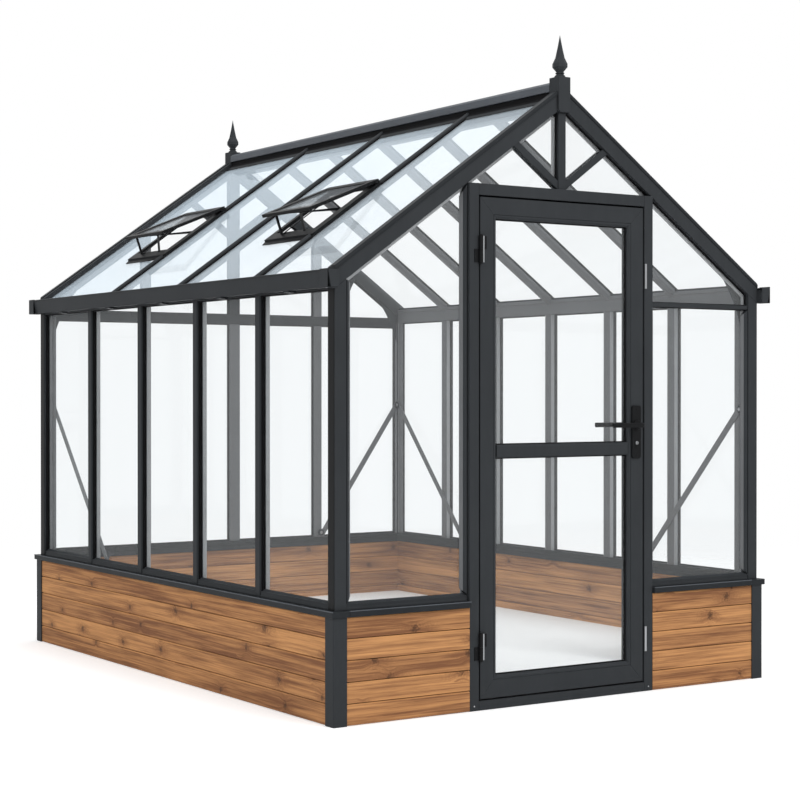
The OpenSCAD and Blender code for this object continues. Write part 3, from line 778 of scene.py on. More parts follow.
def plank(shape, layers, face, depth, span, rows, row, draw):
    """One board: face is the place of its face, depth the way into the wall, span its two ends."""
    grain, tone = layers
    z0 = rows[row] + sizes().board_groove / 2
    z1 = rows[row + 1] - sizes().board_groove / 2
    bevel = sizes().board_chamfer
    arris, slant = bevel / 3, bevel * 0.8
    back = sizes().board_thickness
    chamfer_start = z1 - bevel
    outline = [(0.0, z0 + arris), (0.0, chamfer_start - arris), (0.0, chamfer_start), (slant, z1), (back, z1), (back, z0),
               (arris, z0)]
    along = (span[1] - span[0]).normalized()
    shift = draw.uniform(0.0, GRAIN_RANGE)
    lift = draw.uniform(0.0, RING_RANGE)
    shade = ROW_TONES[row % 2] + draw.uniform(-TONE_RANGE, TONE_RANGE)
    for vert in shape.loft([[end + face + depth * a + Z_AXIS * z for a, z in outline] for end in span]):
        vert[grain] = Vector((vert.co.dot(along) + shift, vert.co.z + lift, vert.co.dot(depth)))
        # Vertices on the upper chamfer take the paler tone: painted highlight
        vert[tone] = shade + (CHAMFER_HIGHLIGHT_TONE if vert.co.z > chamfer_start - LEVEL else 0.0)


def board_wall(name, node, out, along, draw):
    """Boards on both faces of one wall, and the core that shows in their grooves, in the deepest tone:
    painted shade.
    """
    shape = Shape()
    layers = (shape.mesh.verts.layers.float_vector.new(GRAIN), shape.mesh.verts.layers.float.new(TONE))
    back, groove, count = sizes().board_thickness, sizes().board_groove, sizes().board_rows
    for lo, hi in extents(node):
        rows = [lo.z + (hi.z - lo.z) * i / count for i in range(count + 1)]
        span = (along * lo.dot(along), along * hi.dot(along))
        outer, inner = sorted((lo.dot(out), hi.dot(out)), reverse=True)
        for face, depth in ((outer, -out), (inner, out)):
            for row in range(count):
                plank(shape, layers, out * face, depth, span, rows, row, draw)
        corner = span[0] + out * (outer - back) + Z_AXIS * (rows[0] + groove)
        opposite = span[1] + out * (inner + back) + Z_AXIS * (rows[-1] - groove)
        for vert in shape.block(corner, opposite):
            vert[layers[0]] = vert.co
            # Tone 0 gives the core the deepest timber colour: painted shade in the grooves
            vert[layers[1]] = 0.0
    shape.piece(name, "timber_boards", stands_for=node)


class GREENHOUSE_OT_base_boards(bpy.types.Operator):
    """Board the base walls in rows, outside and inside"""

    bl_idname = "greenhouse.base_boards"
    bl_label = "Base boards"

    def execute(self, context):
        draw = random.Random(SEED)
        board_wall("left_wall_boards", "left_base_wall", -X_AXIS, Y_AXIS, draw)
        board_wall("front_wall_boards", "front_base_walls", -Y_AXIS, X_AXIS, draw)
        board_wall("right_wall_boards", "right_base_wall", X_AXIS, Y_AXIS, draw)
        board_wall("rear_wall_boards", "rear_base_wall", Y_AXIS, X_AXIS, draw)
        return {"FINISHED"}


# Glazing, in sections that list insets from the edge of a pane and heights over the glass

UPRIGHT = 0.95
SLOPING = 0.1
BEAD_FLAT = 0.35


def wedge(start, end, tall, low):
    """Section of a gasket: tall at its start, low on the glass at its end."""
    return [(start, 0.0), (start, tall), (end, low), (end, 0.0)]


def bead_profile(width, gap, tall, low):
    """Section of a glazing bead: upright at the bar, then falling towards the glass."""
    end = gap + width
    return [(gap, 0.0), (gap, tall), (gap + width * BEAD_FLAT, tall), (end, low), (end, 0.0)]


def edges(outline, *wanted):
    """For each edge of an upright pane, whether it is a wanted one: foot, head, jamb or verge."""
    low = min(p.z for p in outline)
    found = []
    for start, end in zip(outline, outline[1:] + outline[:1]):
        rise = abs((end - start).normalized().z)
        level = "foot" if start.z - low < LEVEL else "head"
        found.append(("jamb" if rise > UPRIGHT else "verge" if rise > SLOPING else level) in wanted)
    return found


def rims(section, *nodes):
    """Strips of one section round both faces of every pane of some nodes."""
    shape = Shape()
    for pane in panes(*nodes):
        for outline, normal in pane.faces():
            shape.members(outline, normal, section)
    return shape


def side_wall_beads(wide):
    """Deep rubber wedges outside, and beads inside whose pale grey is painted reflection, on the side walls.
    """
    rubber, beads = Shape(), Shape()
    deep = [(0.0, 0.0), (0.0, 0.0152), (wide * 0.7, 0.0142), (wide * 1.2, 0.004), (wide * 1.2, 0.0)]
    upright = [(0.0, 0.0), (0.0, 0.018), (0.0022, 0.018), (0.0028, 0.0)]
    for pane in panes("left_wall_glass", "right_wall_glass"):
        outer, inner = pane.faces()
        made = edges(outer[0], "head", "jamb", "verge")
        rubber.members(*outer, deep, widths=made, made=made)
        made = edges(inner[0], "jamb")
        beads.members(*inner, upright, widths=made, made=made)
    rubber.piece("side_wall_gaskets", "gasket_rubber")
    beads.piece("side_wall_inner_beads", "bead_finish")


def front_beads(width, gap):
    """Beads nearly flush with the posts, and pale strips beside them that are painted highlight, up the sides
    of the tall front panes.
    """
    beads, strips = Shape(), Shape()
    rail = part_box("sill_rails")[1].z
    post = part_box("corner_posts")[0].y
    strip_width, recess = 0.010, 0.002
    start = gap + width
    for pane in panes("front_wall_glass"):
        if extent(pane.outline)[0].z - rail < LEVEL:
            made = edges(pane.outline, "jamb")
            tall = pane.outline[0].y - post - recess
            bead = bead_profile(width, gap, tall, tall * 0.62)
            # Pale wedge on the glass beside the bead: painted highlight
            strip = wedge(start, start + strip_width, tall * 0.60, 0.002)
            beads.members(pane.outline, pane.normal, bead, made=made)
            strips.members(pane.outline, pane.normal, strip, made=made)
    beads.piece("front_pane_beads", "powder_coat", edge=0.0012)
    strips.piece("front_bead_strips", "brace_finish")


def inner_beads(width, gap):
    """Beads behind the panes of the front gable, up their sides and along the rafters, pale with painted
    reflection.
    """
    shape = Shape()
    profile = bead_profile(width, gap, 0.010, 0.005)
    for pane in panes("front_wall_glass"):
        outline, normal = pane.faces()[1]
        made = edges(outline, "jamb", "verge")
        shape.members(outline, normal, profile, widths=made, made=made)
    shape.piece("gable_inner_beads", "bead_finish", edge=0.0008)


class GREENHOUSE_OT_glazing_beads(bpy.types.Operator):
    """Set gaskets, beads and pale strips round the panes of the walls, outside and inside; the pale strips
    are painted highlight, and the inner beads' pale grey is painted reflection
    """

    bl_idname = "greenhouse.glazing_beads"
    bl_label = "Glazing beads"

    def execute(self, context):
        wide = sizes().gasket_width
        side_wall_beads(wide)
        narrow = wedge(0.0, wide * 0.8, 0.006, 0.003)
        rims(narrow, "front_wall_glass", "rear_wall_glass").piece("gable_gaskets", "gasket_rubber")
        front_beads(sizes().bead_width, sizes().shadow_gap)
        inner_beads(sizes().bead_width, sizes().shadow_gap)
        return {"FINISHED"}


# Walls

def sills():
    """Sloping sills from the glass down to the rails' faces."""
    shape = Shape()
    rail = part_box("sill_rails")
    low, high = rail[0].z + 0.0005, rail[1].z
    slack, plate, proud, rise = 0.0005, 0.0022, 0.0025, 0.008
    for pane in panes("left_wall_glass", "right_wall_glass", "front_wall_glass", "rear_wall_glass"):
        lo, hi = extent(pane.outline)
        if lo.z - high < LEVEL:
            out = pane.normal
            along = out.cross(Z_AXIS)
            face = max(rail[0].dot(out), rail[1].dot(out)) + proud
            inner = pane.outline[0].dot(out)
            reach = face - inner
            top = high + rise
            section = [(inner, top), (inner + reach * 0.18, top), (inner + reach * 0.45, top - 0.004),
                       (inner + reach * 0.74, top - 0.012), (face, rail[0].z + 0.006), (face, low),
                       (face - plate, low), (face - plate, high), (inner, high)]
            first, last = sorted((lo.dot(along), hi.dot(along)))
            shape.loft([[out * a + Z_AXIS * z + along * end for a, z in section]
                        for end in (first + slack, last - slack)])
    shape.piece("glazing_sills", "powder_coat", edge=0.0008)


def covers(thickness):
    """Cover strips with rounded edges on the outer faces of the mullions."""
    shape = Shape()
    margin, rim, flat = 0.004, 0.45, 0.80
    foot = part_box("sill_rails")[0].z
    for node, out in (("left_mullions", -X_AXIS), ("right_mullions", X_AXIS), ("rear_mullions", Y_AXIS)):
        along = out.cross(Z_AXIS)
        for points, _ in solids(node):
            lo, hi = extent(points)
            half = (abs((hi - lo).dot(along)) - margin) / 2
            place = along * middle(points).dot(along) + out * max(lo.dot(out), hi.dot(out))
            section = mirrored([(half, 0.0), (half, thickness * rim), (half * flat, thickness)])
            shape.loft([[place + along * a + out * b + Z_AXIS * z for a, b in section]
                        for z in (foot if lo.z < HEART.z else lo.z, hi.z)])
    shape.piece("mullion_covers", "powder_coat", edge=0.0009)


def nosings():
    """Pale nosings along the outer upper edges of the sill caps: painted highlight."""
    shape = Shape()
    deep, proud = 0.0026, 0.0006
    for points, _ in solids("sill_caps"):
        lo, hi = extent(points)
        axis = 1 if hi.x - lo.x > hi.y - lo.y else 0
        if (middle(points) - HEART)[axis] > 0:
            lo[axis], hi[axis] = hi[axis] - deep, hi[axis] + proud
        else:
            lo[axis], hi[axis] = lo[axis] - proud, lo[axis] + deep
        lo.z, hi.z = hi.z - deep, hi.z + proud
        shape.block(lo, hi)
    shape.piece("sill_nosings", "ridge_coat", edge=0.0006)


def gable_backs():
    """For the front and the rear gable, its way out along Y and the place of its glass's inner face."""
    for node, way in (("front_wall_glass", -1.0), ("rear_wall_glass", 1.0)):
        pane = panes(node)[0]
        yield way, way * (abs(pane.outline[0].y) - pane.thickness)


def corner_sheen_trims():
    """Pale plates on the inner sides of the corner posts and, behind the braces, on the side glass: painted
    sheen of the glass in front of them.
    """
    shape = Shape()
    plate, deep, behind = 0.0025, 0.066, 0.008
    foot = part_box("sill_rails")[1].z
    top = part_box("eave_beams")[0].z
    for way, back in gable_backs():
        for points, _ in solids("corner_posts"):
            if middle(points).y * way > 0:
                inner = min((p.x for p in points), key=abs)
                rear = min((p.y for p in points), key=abs)
                outer = inner + math.copysign(behind + plate, inner)
                for x, start, end in ((inner, back, rear), (outer, rear, back - way * deep)):
                    shape.block((x, start, foot), (x - math.copysign(plate, x), end, top))
    shape.piece("corner_inner_trims", "brace_finish", edge=0.0006)


def side_shade_plates():
    """Dark plates on the outer sides of the corner posts: painted shade on those faces."""
    shape = Shape()
    proud, margin = 0.0016, 0.004
    foot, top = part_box("sill_rails")[0].z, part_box("gutters")[0].z
    for lo, hi in extents("corner_posts"):
        face = max(lo.x, hi.x, key=abs)
        shape.block((face, lo.y + margin, foot), (face + math.copysign(proud, face), hi.y - margin, top))
    shape.piece("corner_side_plates", "black_hardware", edge=0.0006)


def eave_sheen_covers():
    """Pale covers on the inner faces of the eave beams, with a lip along the top: painted sheen of the glass
    in front of them.
    """
    shape = Shape()
    lo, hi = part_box("eave_beams")
    inner = min(abs(p.x) for points, _ in solids("eave_beams") for p in points)
    face, lip = inner - 0.0015, inner - 0.006
    foot, top = lo.z + 0.001, hi.z - 0.010
    shape.both_sides([(inner, foot), (face, foot), (face, hi.z - 0.026), (lip, hi.z - 0.024),
                      (lip, hi.z - 0.012), (face, top), (inner, top)], lo.y, hi.y)
    shape.piece("eave_inner_covers", "brace_finish", edge=0.0005)


def gussets():
    """Curved plates between the corner posts and the rafters, inside the glass."""
    shape = Shape()
    leg, plate, clear, pull, steps = 0.15, 0.005, 0.014, 0.28, 8
    inner = min(abs(p.x) for p in solids("corner_posts")[0][0])
    depth = ROOF.deepest(solids("verge_rafters")[0][0])
    top = Vector((inner, ROOF.z(depth, inner)))
    foot = top - Vector((0.0, leg))
    tip = top + Vector((-leg * ROOF.cos, leg * ROOF.sin))
    bend = top + (foot - top) * pull + (tip - top) * pull
    outline = [top]
    for t in shares(steps):
        outline.append(foot * (1 - t) ** 2 + bend * 2 * t * (1 - t) + tip * t * t)
    for way, back in gable_backs():
        near = back - way * clear
        shape.both_sides(outline, near, near - way * plate)
    shape.piece("eave_gussets", "powder_coat", edge=0.0008)


class GREENHOUSE_OT_wall_trims(bpy.types.Operator):
    """Add sills and nosings, cover strips, corner trims and plates, eave covers and gussets; the nosings are
    painted highlight, the pale corner trims and eave covers painted sheen, and the dark plates painted shade
    """

    bl_idname = "greenhouse.wall_trims"
    bl_label = "Wall trims"

    def execute(self, context):
        sills()
        covers(sizes().cover_thickness)
        nosings()
        corner_sheen_trims()
        side_shade_plates()
        eave_sheen_covers()
        gussets()
        return {"FINISHED"}


# Roof

def cap(half, top, under):
    """Section of a cap: flat flanges and a round rib."""
    rib, steps = half * 0.62, 8
    rise = under - top
    rim, shoulder = under - rise * 0.30, under - rise * 0.40
    outline = [(-half, under), (-half, rim), (-rib, shoulder)]
    for share in shares(steps):
        turn = math.pi * (1 - share)
        outline.append((rib * 0.92 * math.cos(turn), under - rise * (0.42 + 0.58 * math.sin(turn))))
    return outline + [(rib, shoulder), (half, rim), (half, under)]


def slope_bars(node, coat, rubber):
    """Bars and caps of one slope: bars narrower at their feet, and black rubber beside the caps and over
    their flanges, partly gasket and partly painted shade.
    """
    level = ROOF.deepest(panes(node.replace("bars", "glass"))[0].outline)
    bars, caps = Shape(), Shape()
    flange, strip = 0.012, 0.003
    for points, _ in solids(node):
        lo, hi = extent(points)
        depths = [ROOF.depth(p) for p in points]
        top, under = min(depths), max(depths)
        y, half = (lo.y + hi.y) / 2, (hi.y - lo.y) / 2
        if top < level:
            caps.down_slope(cap(half, top, under), lo.x, hi.x, y)
            rise = under - top
            section = [(half * 0.64, level - rise * 0.38), (half, level - rise * 0.28), (half, level),
                       (half + strip, level), (half + strip, level - rise * 0.34),
                       (half * 0.64, level - rise * 0.47)]
            # Black rubber over the caps' flanges: painted shade at the sides of the caps
            for side in SIDES:
                rubber.down_slope([(side * a, depth) for a, depth in section], lo.x, hi.x, y)
        else:
            section = mirrored([(half, top), (half, top + flange), (half * 0.5, under)])
            bars.down_slope(section, lo.x, hi.x, y)
    bars.piece(node.replace("_bars", "_bar_set"), coat, edge=0.0007, stands_for=node)
    caps.piece(node.replace("_bars", "_bar_caps"), "powder_coat", edge=0.0007)


class GREENHOUSE_OT_roof_bars(bpy.types.Operator):
    """Replace the roof bars by tapered bars with round caps, and black rubber over the caps' flanges that is
    partly gasket and partly painted shade; the right slope's bars are paler, a painted sheen of the glass
    """

    bl_idname = "greenhouse.roof_bars"
    bl_label = "Roof bars"

    def execute(self, context):
        rubber = Shape()
        slope_bars("left_roof_bars", "powder_coat", rubber)
        # The right slope's bars take the paler brace grey: painted sheen of the glass in front of them
        slope_bars("right_roof_bars", "brace_finish", rubber)
        rubber.piece("roof_bar_gaskets", "gasket_rubber")
        return {"FINISHED"}


def verges(cover):
    """Angle strips over the outer upper edges of the verge rafters."""
    shape = Shape()
    for lo, hi in extents("verge_rafters"):
        way = math.copysign(1.0, lo.y)
        face = max(abs(lo.y), abs(hi.y))
        back = (abs(lo.y) + abs(hi.y)) / 2
        outline = [(back, 0.0), (back, -cover * 0.7), (back + 0.001, -cover), (face, -cover),
                   (face + cover, cover * 0.4), (face + cover, 0.010), (face, 0.0125), (face, 0.0)]
        shape.down_slope([(way * y, depth) for y, depth in outline], lo.x, hi.x)
    shape.piece("verge_covers", "cover_coat", edge=0.0008)


def ridge():
    """Flashing strips on the glass along both sides of the ridge beam, and black seals behind them that fill
    the recess under the ridge cap: painted shade.
    """
    strips, seals = Shape(), Shape()
    lo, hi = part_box("ridge_beam")
    level = ROOF.deepest(panes("right_roof_glass")[0].outline)
    gap, width = 0.020, 0.013
    start = hi.x + gap
    end = start + width
    strip = [(start, level), (end, level), (end, level - 0.003), (start, level - 0.006)]
    seal = [(hi.x, level), (start, level), (start, level - 0.005), (hi.x + 0.003, level - 0.007)]
    strips.both_sides([(x, ROOF.z(depth, x)) for x, depth in strip], lo.y, hi.y)
    # Black seal filling the recess under the ridge cap: painted shade
    seals.both_sides([(x, ROOF.z(depth, x)) for x, depth in seal]
                     + [(hi.x + 0.002, hi.z), (hi.x, hi.z)], lo.y, hi.y)
    strips.piece("ridge_flashings", "cover_coat", edge=0.0008)
    seals.piece("ridge_seals", "gasket_rubber")


def gutter_lips(lo, hi):
    """Rolled lips along the rims of the gutters."""
    shape = Shape()
    thick, radius, back, drop = 0.008, 0.0035, 0.0025, 0.003
    roll = rounded(thick, thick, radius, 3)
    shape.both_sides([(hi.x - back + a, hi.z - drop + b) for a, b in roll], lo.y, hi.y)
    shape.piece("gutter_lips", "cover_coat")


def gutter_sleeves(lo, hi, beam):
    """Sleeves round the ends of the gutters."""
    shape = Shape()
    proud, reach, lip = 0.0026, 0.055, 0.006
    start = beam + 0.001
    outline = [(start, lo.z - proud), (hi.x + proud * 0.3, lo.z - proud), (hi.x + proud, lo.z),
               (hi.x + proud, hi.z + proud), (hi.x - lip, hi.z + proud), (hi.x - lip, hi.z),
               (hi.x, hi.z), (hi.x, lo.z), (start, lo.z)]
    for y in (lo.y, hi.y - reach):
        shape.both_sides(outline, y, y + reach)
    shape.piece("gutter_sleeves", "powder_coat", edge=0.0009)


def gutter_clips(foot, beam):
    """Clips that hold the gutters from below, one in each bay of the wall."""
    shape = Shape()
    half, hidden = 0.022, 0.004
    section = ((0.0, -0.0005), (0.030, -0.0005), (0.033, 0.006), (0.036, 0.005), (0.032, -0.006),
               (0.0, -0.009))
    outline = [(beam - hidden + a, foot + b) for a, b in section]
    for pane in panes("left_wall_glass"):
        y = middle(pane.outline).y
        shape.both_sides(outline, y - half, y + half)
    shape.piece("gutter_clips", "cover_coat", edge=0.0006)


def collars():
    """Turned rings at the feet and necks of the finials."""
    shape = Shape()
    neck_height, plate_share, neck_share = 0.0145, 0.37, 0.30
    for lo, hi in extents("finials"):
        foot = Vector(((lo.x + hi.x) / 2, (lo.y + hi.y) / 2, lo.z))
        plate, neck = (hi.x - lo.x) * plate_share, (hi.x - lo.x) * neck_share
        shape.turned(foot, Z_AXIS,
                     [(plate, 0.0), (plate, 0.004), (plate * 0.92, 0.006), (plate * 0.7, 0.006)])
        shape.turned(foot + Z_AXIS * neck_height, Z_AXIS,
                     [(neck * 0.8, 0.0), (neck, 0.001), (neck, 0.004), (neck * 0.8, 0.005)])
    shape.piece("finial_collars", "powder_coat", edge=0.0006)


class GREENHOUSE_OT_roof_trims(bpy.types.Operator):
    """Add verge covers, ridge flashings and seals, gutter lips, sleeves and clips, and finial collars"""

    bl_idname = "greenhouse.roof_trims"
    bl_label = "Roof trims"

    def execute(self, context):
        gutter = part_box("gutters")
        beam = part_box("eave_beams")[1].x
        verges(sizes().cover_thickness)
        ridge()
        gutter_lips(*gutter)
        gutter_sleeves(*gutter, beam)
        gutter_clips(gutter[0].z, beam)
        collars()
        return {"FINISHED"}


# Roof vents

def vents(node):
    """Points of a node by vent, as places on the left slope."""
    found = {}
    for points, _ in solids(node):
        found.setdefault(middle(points).y > 0, []).extend(ROOF.left_place(p) for p in points)
    return [found[side] for side in sorted(found)]


def vent_flashings():
    """Flashings that lead water from the curbs on to the glass."""
    shape = Shape()
    for lo, hi in map(extent, vents("vent_curbs")):
        foot, level = hi.x, lo.z
        section = [(foot, level), (foot + 0.022, level), (foot + 0.022, level + 0.003),
                   (foot + 0.004, level + 0.006), (foot + 0.0025, hi.z), (foot, hi.z)]
        shape.loft([[ROOF.left(u, v, w) for u, w in section] for v in (lo.y, hi.y)])
    shape.piece("vent_flashings", "black_hardware", edge=0.0007)


def opener_arms():
    """Crossed arms that hold the sashes open."""
    shape = Shape()
    section = rounded(0.011, 0.0036, 0.0012, 2)
    spread, margin, setback, foot_gap, held_gap = 0.085, 0.02, 0.034, 0.001, 0.002
    up = ROOF.left(0.0, 0.0, 1.0) - ROOF.left(0.0, 0.0, 0.0)
    for curb, sash in zip(vents("vent_curbs"), vents("vent_sashes")):
        lo, hi = extent(curb)
        near, far = extent(sash)
        hinge = min((p for p in sash if p.x - near.x < margin), key=lambda p: p.z)
        toe = min((p for p in sash if far.x - p.x < margin), key=lambda p: p.z)
        mid = (lo.y + hi.y) / 2
        for side, share in zip(SIDES, (0.60, 0.66)):
            held = hinge + (toe - hinge) * share
            foot = ROOF.left(hi.x - setback, mid + side * spread, hi.z + foot_gap)
            shape.sweep([foot, ROOF.left(held.x, mid - side * spread, held.z - held_gap)], section, up)
    shape.piece("vent_opener_arms", "black_hardware")


class GREENHOUSE_OT_roof_vents(bpy.types.Operator):
    """Add beads, gaskets, flashings and opener arms to the roof vents"""

    bl_idname = "greenhouse.roof_vents"
    bl_label = "Roof vents"

    def execute(self, context):
        width, gasket_width = 0.008, 0.003
        bead = bead_profile(width, 0.0, 0.0045, 0.0025)
        gasket = wedge(width, width + gasket_width, 0.0022, 0.001)
        rims(bead, "vent_glass").piece("vent_beads", "black_hardware", edge=0.0006)
        rims(gasket, "vent_glass").piece("vent_gaskets", "gasket_rubber")
        vent_flashings()
        opener_arms()
        return {"FINISHED"}


# Door

def leaf_section(depth, level):
    """Section of a leaf bar: shares of its width, and heights over its back."""
    return [(0.0, 0.0), (0.0, depth), (0.80, depth), (0.805, depth - 0.0022), (0.82, depth - 0.0022),
            (0.825, depth - 0.0004), (0.90, depth - 0.0004), (1.0, depth - 0.007), (1.0, level), (1.0, 0.0)]


def leaf_bars(lo, hi):
    """Mitred bars round the leaf and a beaded rail between its two panes."""
    shape = Shape()
    glass_lo, glass_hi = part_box("door_glass")
    depth = hi.y - lo.y
    corners = ((lo.x, lo.z), (hi.x, lo.z), (hi.x, hi.z), (lo.x, hi.z))
    stile = glass_lo.x - lo.x
    shape.members([Vector((x, hi.y, z)) for x, z in corners], -Y_AXIS, leaf_section(depth, hi.y - glass_lo.y),
                  widths=[glass_lo.z - lo.z, stile, hi.z - glass_hi.z, stile])
    lower, upper = sorted((extent(pane.outline) for pane in panes("door_glass")), key=lambda box: box[0].z)
    z0, z1 = lower[1].z, upper[0].z
    bead, slack = 0.005, 0.0004
    front = -depth
    section = [(0.0, z0), (front + 0.003, z0), (front + 0.0006, z0 + bead), (front, z0 + bead + 0.001),
               (front, z1 - bead - 0.001), (front + 0.0006, z1 - bead), (front + 0.003, z1), (0.0, z1)]
    shape.loft([[Vector((x, hi.y + y, z)) for y, z in section]
                for x in (glass_lo.x + slack, glass_hi.x - slack)])
    shape.piece("door_leaf_bars", "powder_coat", edge=0.001, body=DOOR, stands_for="door_leaf")


def stop_seals(leaf_back):
    """Rubber seal on the frame, behind the leaf's edge."""
    shape = Shape()
    lo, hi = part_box("door_frame")
    member, width, sill, gap, recess = 0.044, 0.016, 0.036, 0.0032, 0.001
    y0 = leaf_back + gap
    y1 = hi.y - recess
    inner, top = hi.x - member, hi.z - member
    for side in SIDES:
        shape.block((side * inner, y0, lo.z + sill), (side * (inner - width), y1, top))
    shape.block((-inner, y0, top - width), (inner, y1, top))
    shape.piece("door_stop_seals", "gasket_rubber", edge=0.0008)


class GREENHOUSE_OT_door_leaf(bpy.types.Operator):
    """Replace the door leaf by mitred bars with beads, and add its gaskets and seal"""

    bl_idname = "greenhouse.door_leaf"
    bl_label = "Door leaf"

    def execute(self, context):
        lo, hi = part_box("door_leaf")
        leaf_bars(lo, hi)
        gasket = wedge(0.0, sizes().gasket_width, 0.0045, 0.0015)
        rims(gasket, "door_glass").piece("door_gaskets", "gasket_rubber", body=DOOR)
        stop_seals(hi.y)
        return {"FINISHED"}


PLATE_RADIUS = 0.009
HINGE_CAP = ((0.0080, -0.001), (0.0084, 0.0), (0.0084, 0.003), (0.006, 0.0055))
BARREL = 0.008


def handle_plates():
    """Round-cornered handle plates on both faces of the leaf."""
    shape = Shape()
    for lo, hi in extents("handle_plates"):
        centre = (lo + hi) / 2
        outline = rounded(hi.x - lo.x, hi.z - lo.z, PLATE_RADIUS)
        shape.along_y([(centre.x + a, centre.z + b) for a, b in outline], lo.y, hi.y)
    shape.piece("handle_back_plates", "black_hardware", edge=0.0022, body=DOOR, stands_for="handle_plates")


def lever():
    """Lever on each face of the door, on a turned rose and neck."""
    shape = Shape()
    lo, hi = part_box("door_lever")
    plates = sorted(extents("handle_plates"), key=lambda box: box[0].y)
    pivot = Vector(((plates[0][0].x + plates[0][1].x) / 2, 0.0, (lo.z + hi.z) / 2))
    section = rounded(0.0135, hi.z - lo.z - 0.001, 0.0045)
    rose, neck, clear, bend, start, steps = 0.0195, 0.0078, 0.0003, 0.010, 0.06, 8
    span = pivot.x - lo.x - 0.002
    for plate_y, end_y, out in ((plates[0][0].y, lo.y, -Y_AXIS), (plates[1][1].y, hi.y, Y_AXIS)):
        foot = Vector((pivot.x, plate_y, pivot.z))
        reach = abs(end_y - plate_y) - 0.012
        shape.turned(foot + out * clear, out, [(rose, 0.0), (rose, 0.004), (0.018, 0.0062), (0.010, 0.0068),
                                               (neck, 0.009), (neck, reach - 0.006)])
        arm = foot + out * (reach - 0.0075)
        path = [arm + X_AXIS * 0.0045, arm + X_AXIS * 0.0005]
        for t in shares(steps):
            path.append(arm - X_AXIS * span * (start + (1 - start) * t) - out * bend * t ** 4)
        shape.sweep(path, section, Z_AXIS)
    shape.piece("door_lever_pair", "black_hardware", edge=0.0012, body=LEVER, stands_for="door_lever")


def lock():
    """Lock cylinder with its key slot, through both plates."""
    steel, stems, slots = Shape(), Shape(), Shape()
    lo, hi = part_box("handle_plates")
    height, stem_drop, sunk, stem_depth = 0.062, 0.014, 0.003, 0.0045
    centre = Vector(((lo.x + hi.x) / 2, 0.0, lo.z + height))
    stem = [(centre.x + a, centre.z - stem_drop + b) for a, b in rounded(0.0100, 0.0200, 0.0045)]
    half_slot = Vector((0.0010, 0.0, 0.0055))
    for y, out in ((lo.y, -1.0), (hi.y, 1.0)):
        foot = y - out * sunk
        steel.turned(Vector((centre.x, foot, centre.z)), Y_AXIS * out,
                     [(0.0070, 0.0), (0.0070, 0.0050), (0.0064, 0.0058)], 32)
        stems.along_y(stem, foot, foot + out * stem_depth)
        slots.block(centre - half_slot + Y_AXIS * (y + out * 0.0025),
                    centre + half_slot + Y_AXIS * (y + out * 0.0032))
    steel.piece("lock_cylinder", "brushed_steel", edge=0.0004, body=DOOR)
    stems.piece("lock_stems", "black_hardware", edge=0.0004, body=DOOR)
    slots.piece("key_slots", "gasket_rubber", edge=0.0002, body=DOOR)


def hinges():
    """Caps on the hinge barrels and bright strips beside them on the leaf."""
    caps, strips, shoes = Shape(), Shape(), Shape()
    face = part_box("door_leaf")[0].y
    near, far, proud, tail = 0.0086, 0.0150, 0.0115, 0.050
    for lo, hi in extents("door_hinges"):
        x = lo.x + BARREL
        caps.turned(Vector((x, lo.y + BARREL, hi.z)), Z_AXIS, HINGE_CAP)
        strips.block((x + near, face - proud, lo.z - tail), (x + far, face, hi.z))
    for lo, hi in extents("frame_hinges"):
        shoes.turned(Vector((hi.x - BARREL, lo.y + BARREL, lo.z)), -Z_AXIS, HINGE_CAP)
    caps.piece("hinge_upper_caps", "black_hardware", edge=0.0004, body=DOOR)
    strips.piece("hinge_cover_strips", "brushed_steel", edge=0.0006, body=DOOR)
    shoes.piece("hinge_lower_caps", "black_hardware", edge=0.0004)


class GREENHOUSE_OT_door_furniture(bpy.types.Operator):
    """Make the handle plates, lever, lock cylinder, hinge caps and hinge strips"""

    bl_idname = "greenhouse.door_furniture"
    bl_label = "Door furniture"

    def execute(self, context):
        handle_plates()
        lever()
        lock()
        hinges()
        return {"FINISHED"}


# Fixings

def screw(shape, place, out, radius):
    """Pan head of a screw."""
    rim, dome, steps = radius * 0.22, radius * 0.35, 5
    profile = [(radius, 0.0), (radius, rim)]
    for share in shares(steps)[1:-1]:
        turn = math.pi / 2 * share
        profile.append((radius * math.cos(turn), rim + dome * math.sin(turn)))
    shape.turned(place, out, profile, 16)


def screws(radius):
    """Bright screw heads at the feet of the door frame and black ones on the handle plates."""
    jamb, plate = Shape(), Shape()
    side, height, margin, small = 0.022, 0.018, 0.014, 0.85
    lo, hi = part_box("door_frame")
    for x in (lo.x + side, hi.x - side):
        screw(jamb, Vector((x, lo.y, height)), -Y_AXIS, radius)
    jamb.piece("jamb_screws", "brushed_steel")
    lo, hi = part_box("handle_plates")
    for z in (lo.z + margin, hi.z - margin):
        for y, out in ((lo.y, -Y_AXIS), (hi.y, Y_AXIS)):
            screw(plate, Vector(((lo.x + hi.x) / 2, y, z)), out, radius * small)
    plate.piece("handle_plate_screws", "black_hardware", body=DOOR)


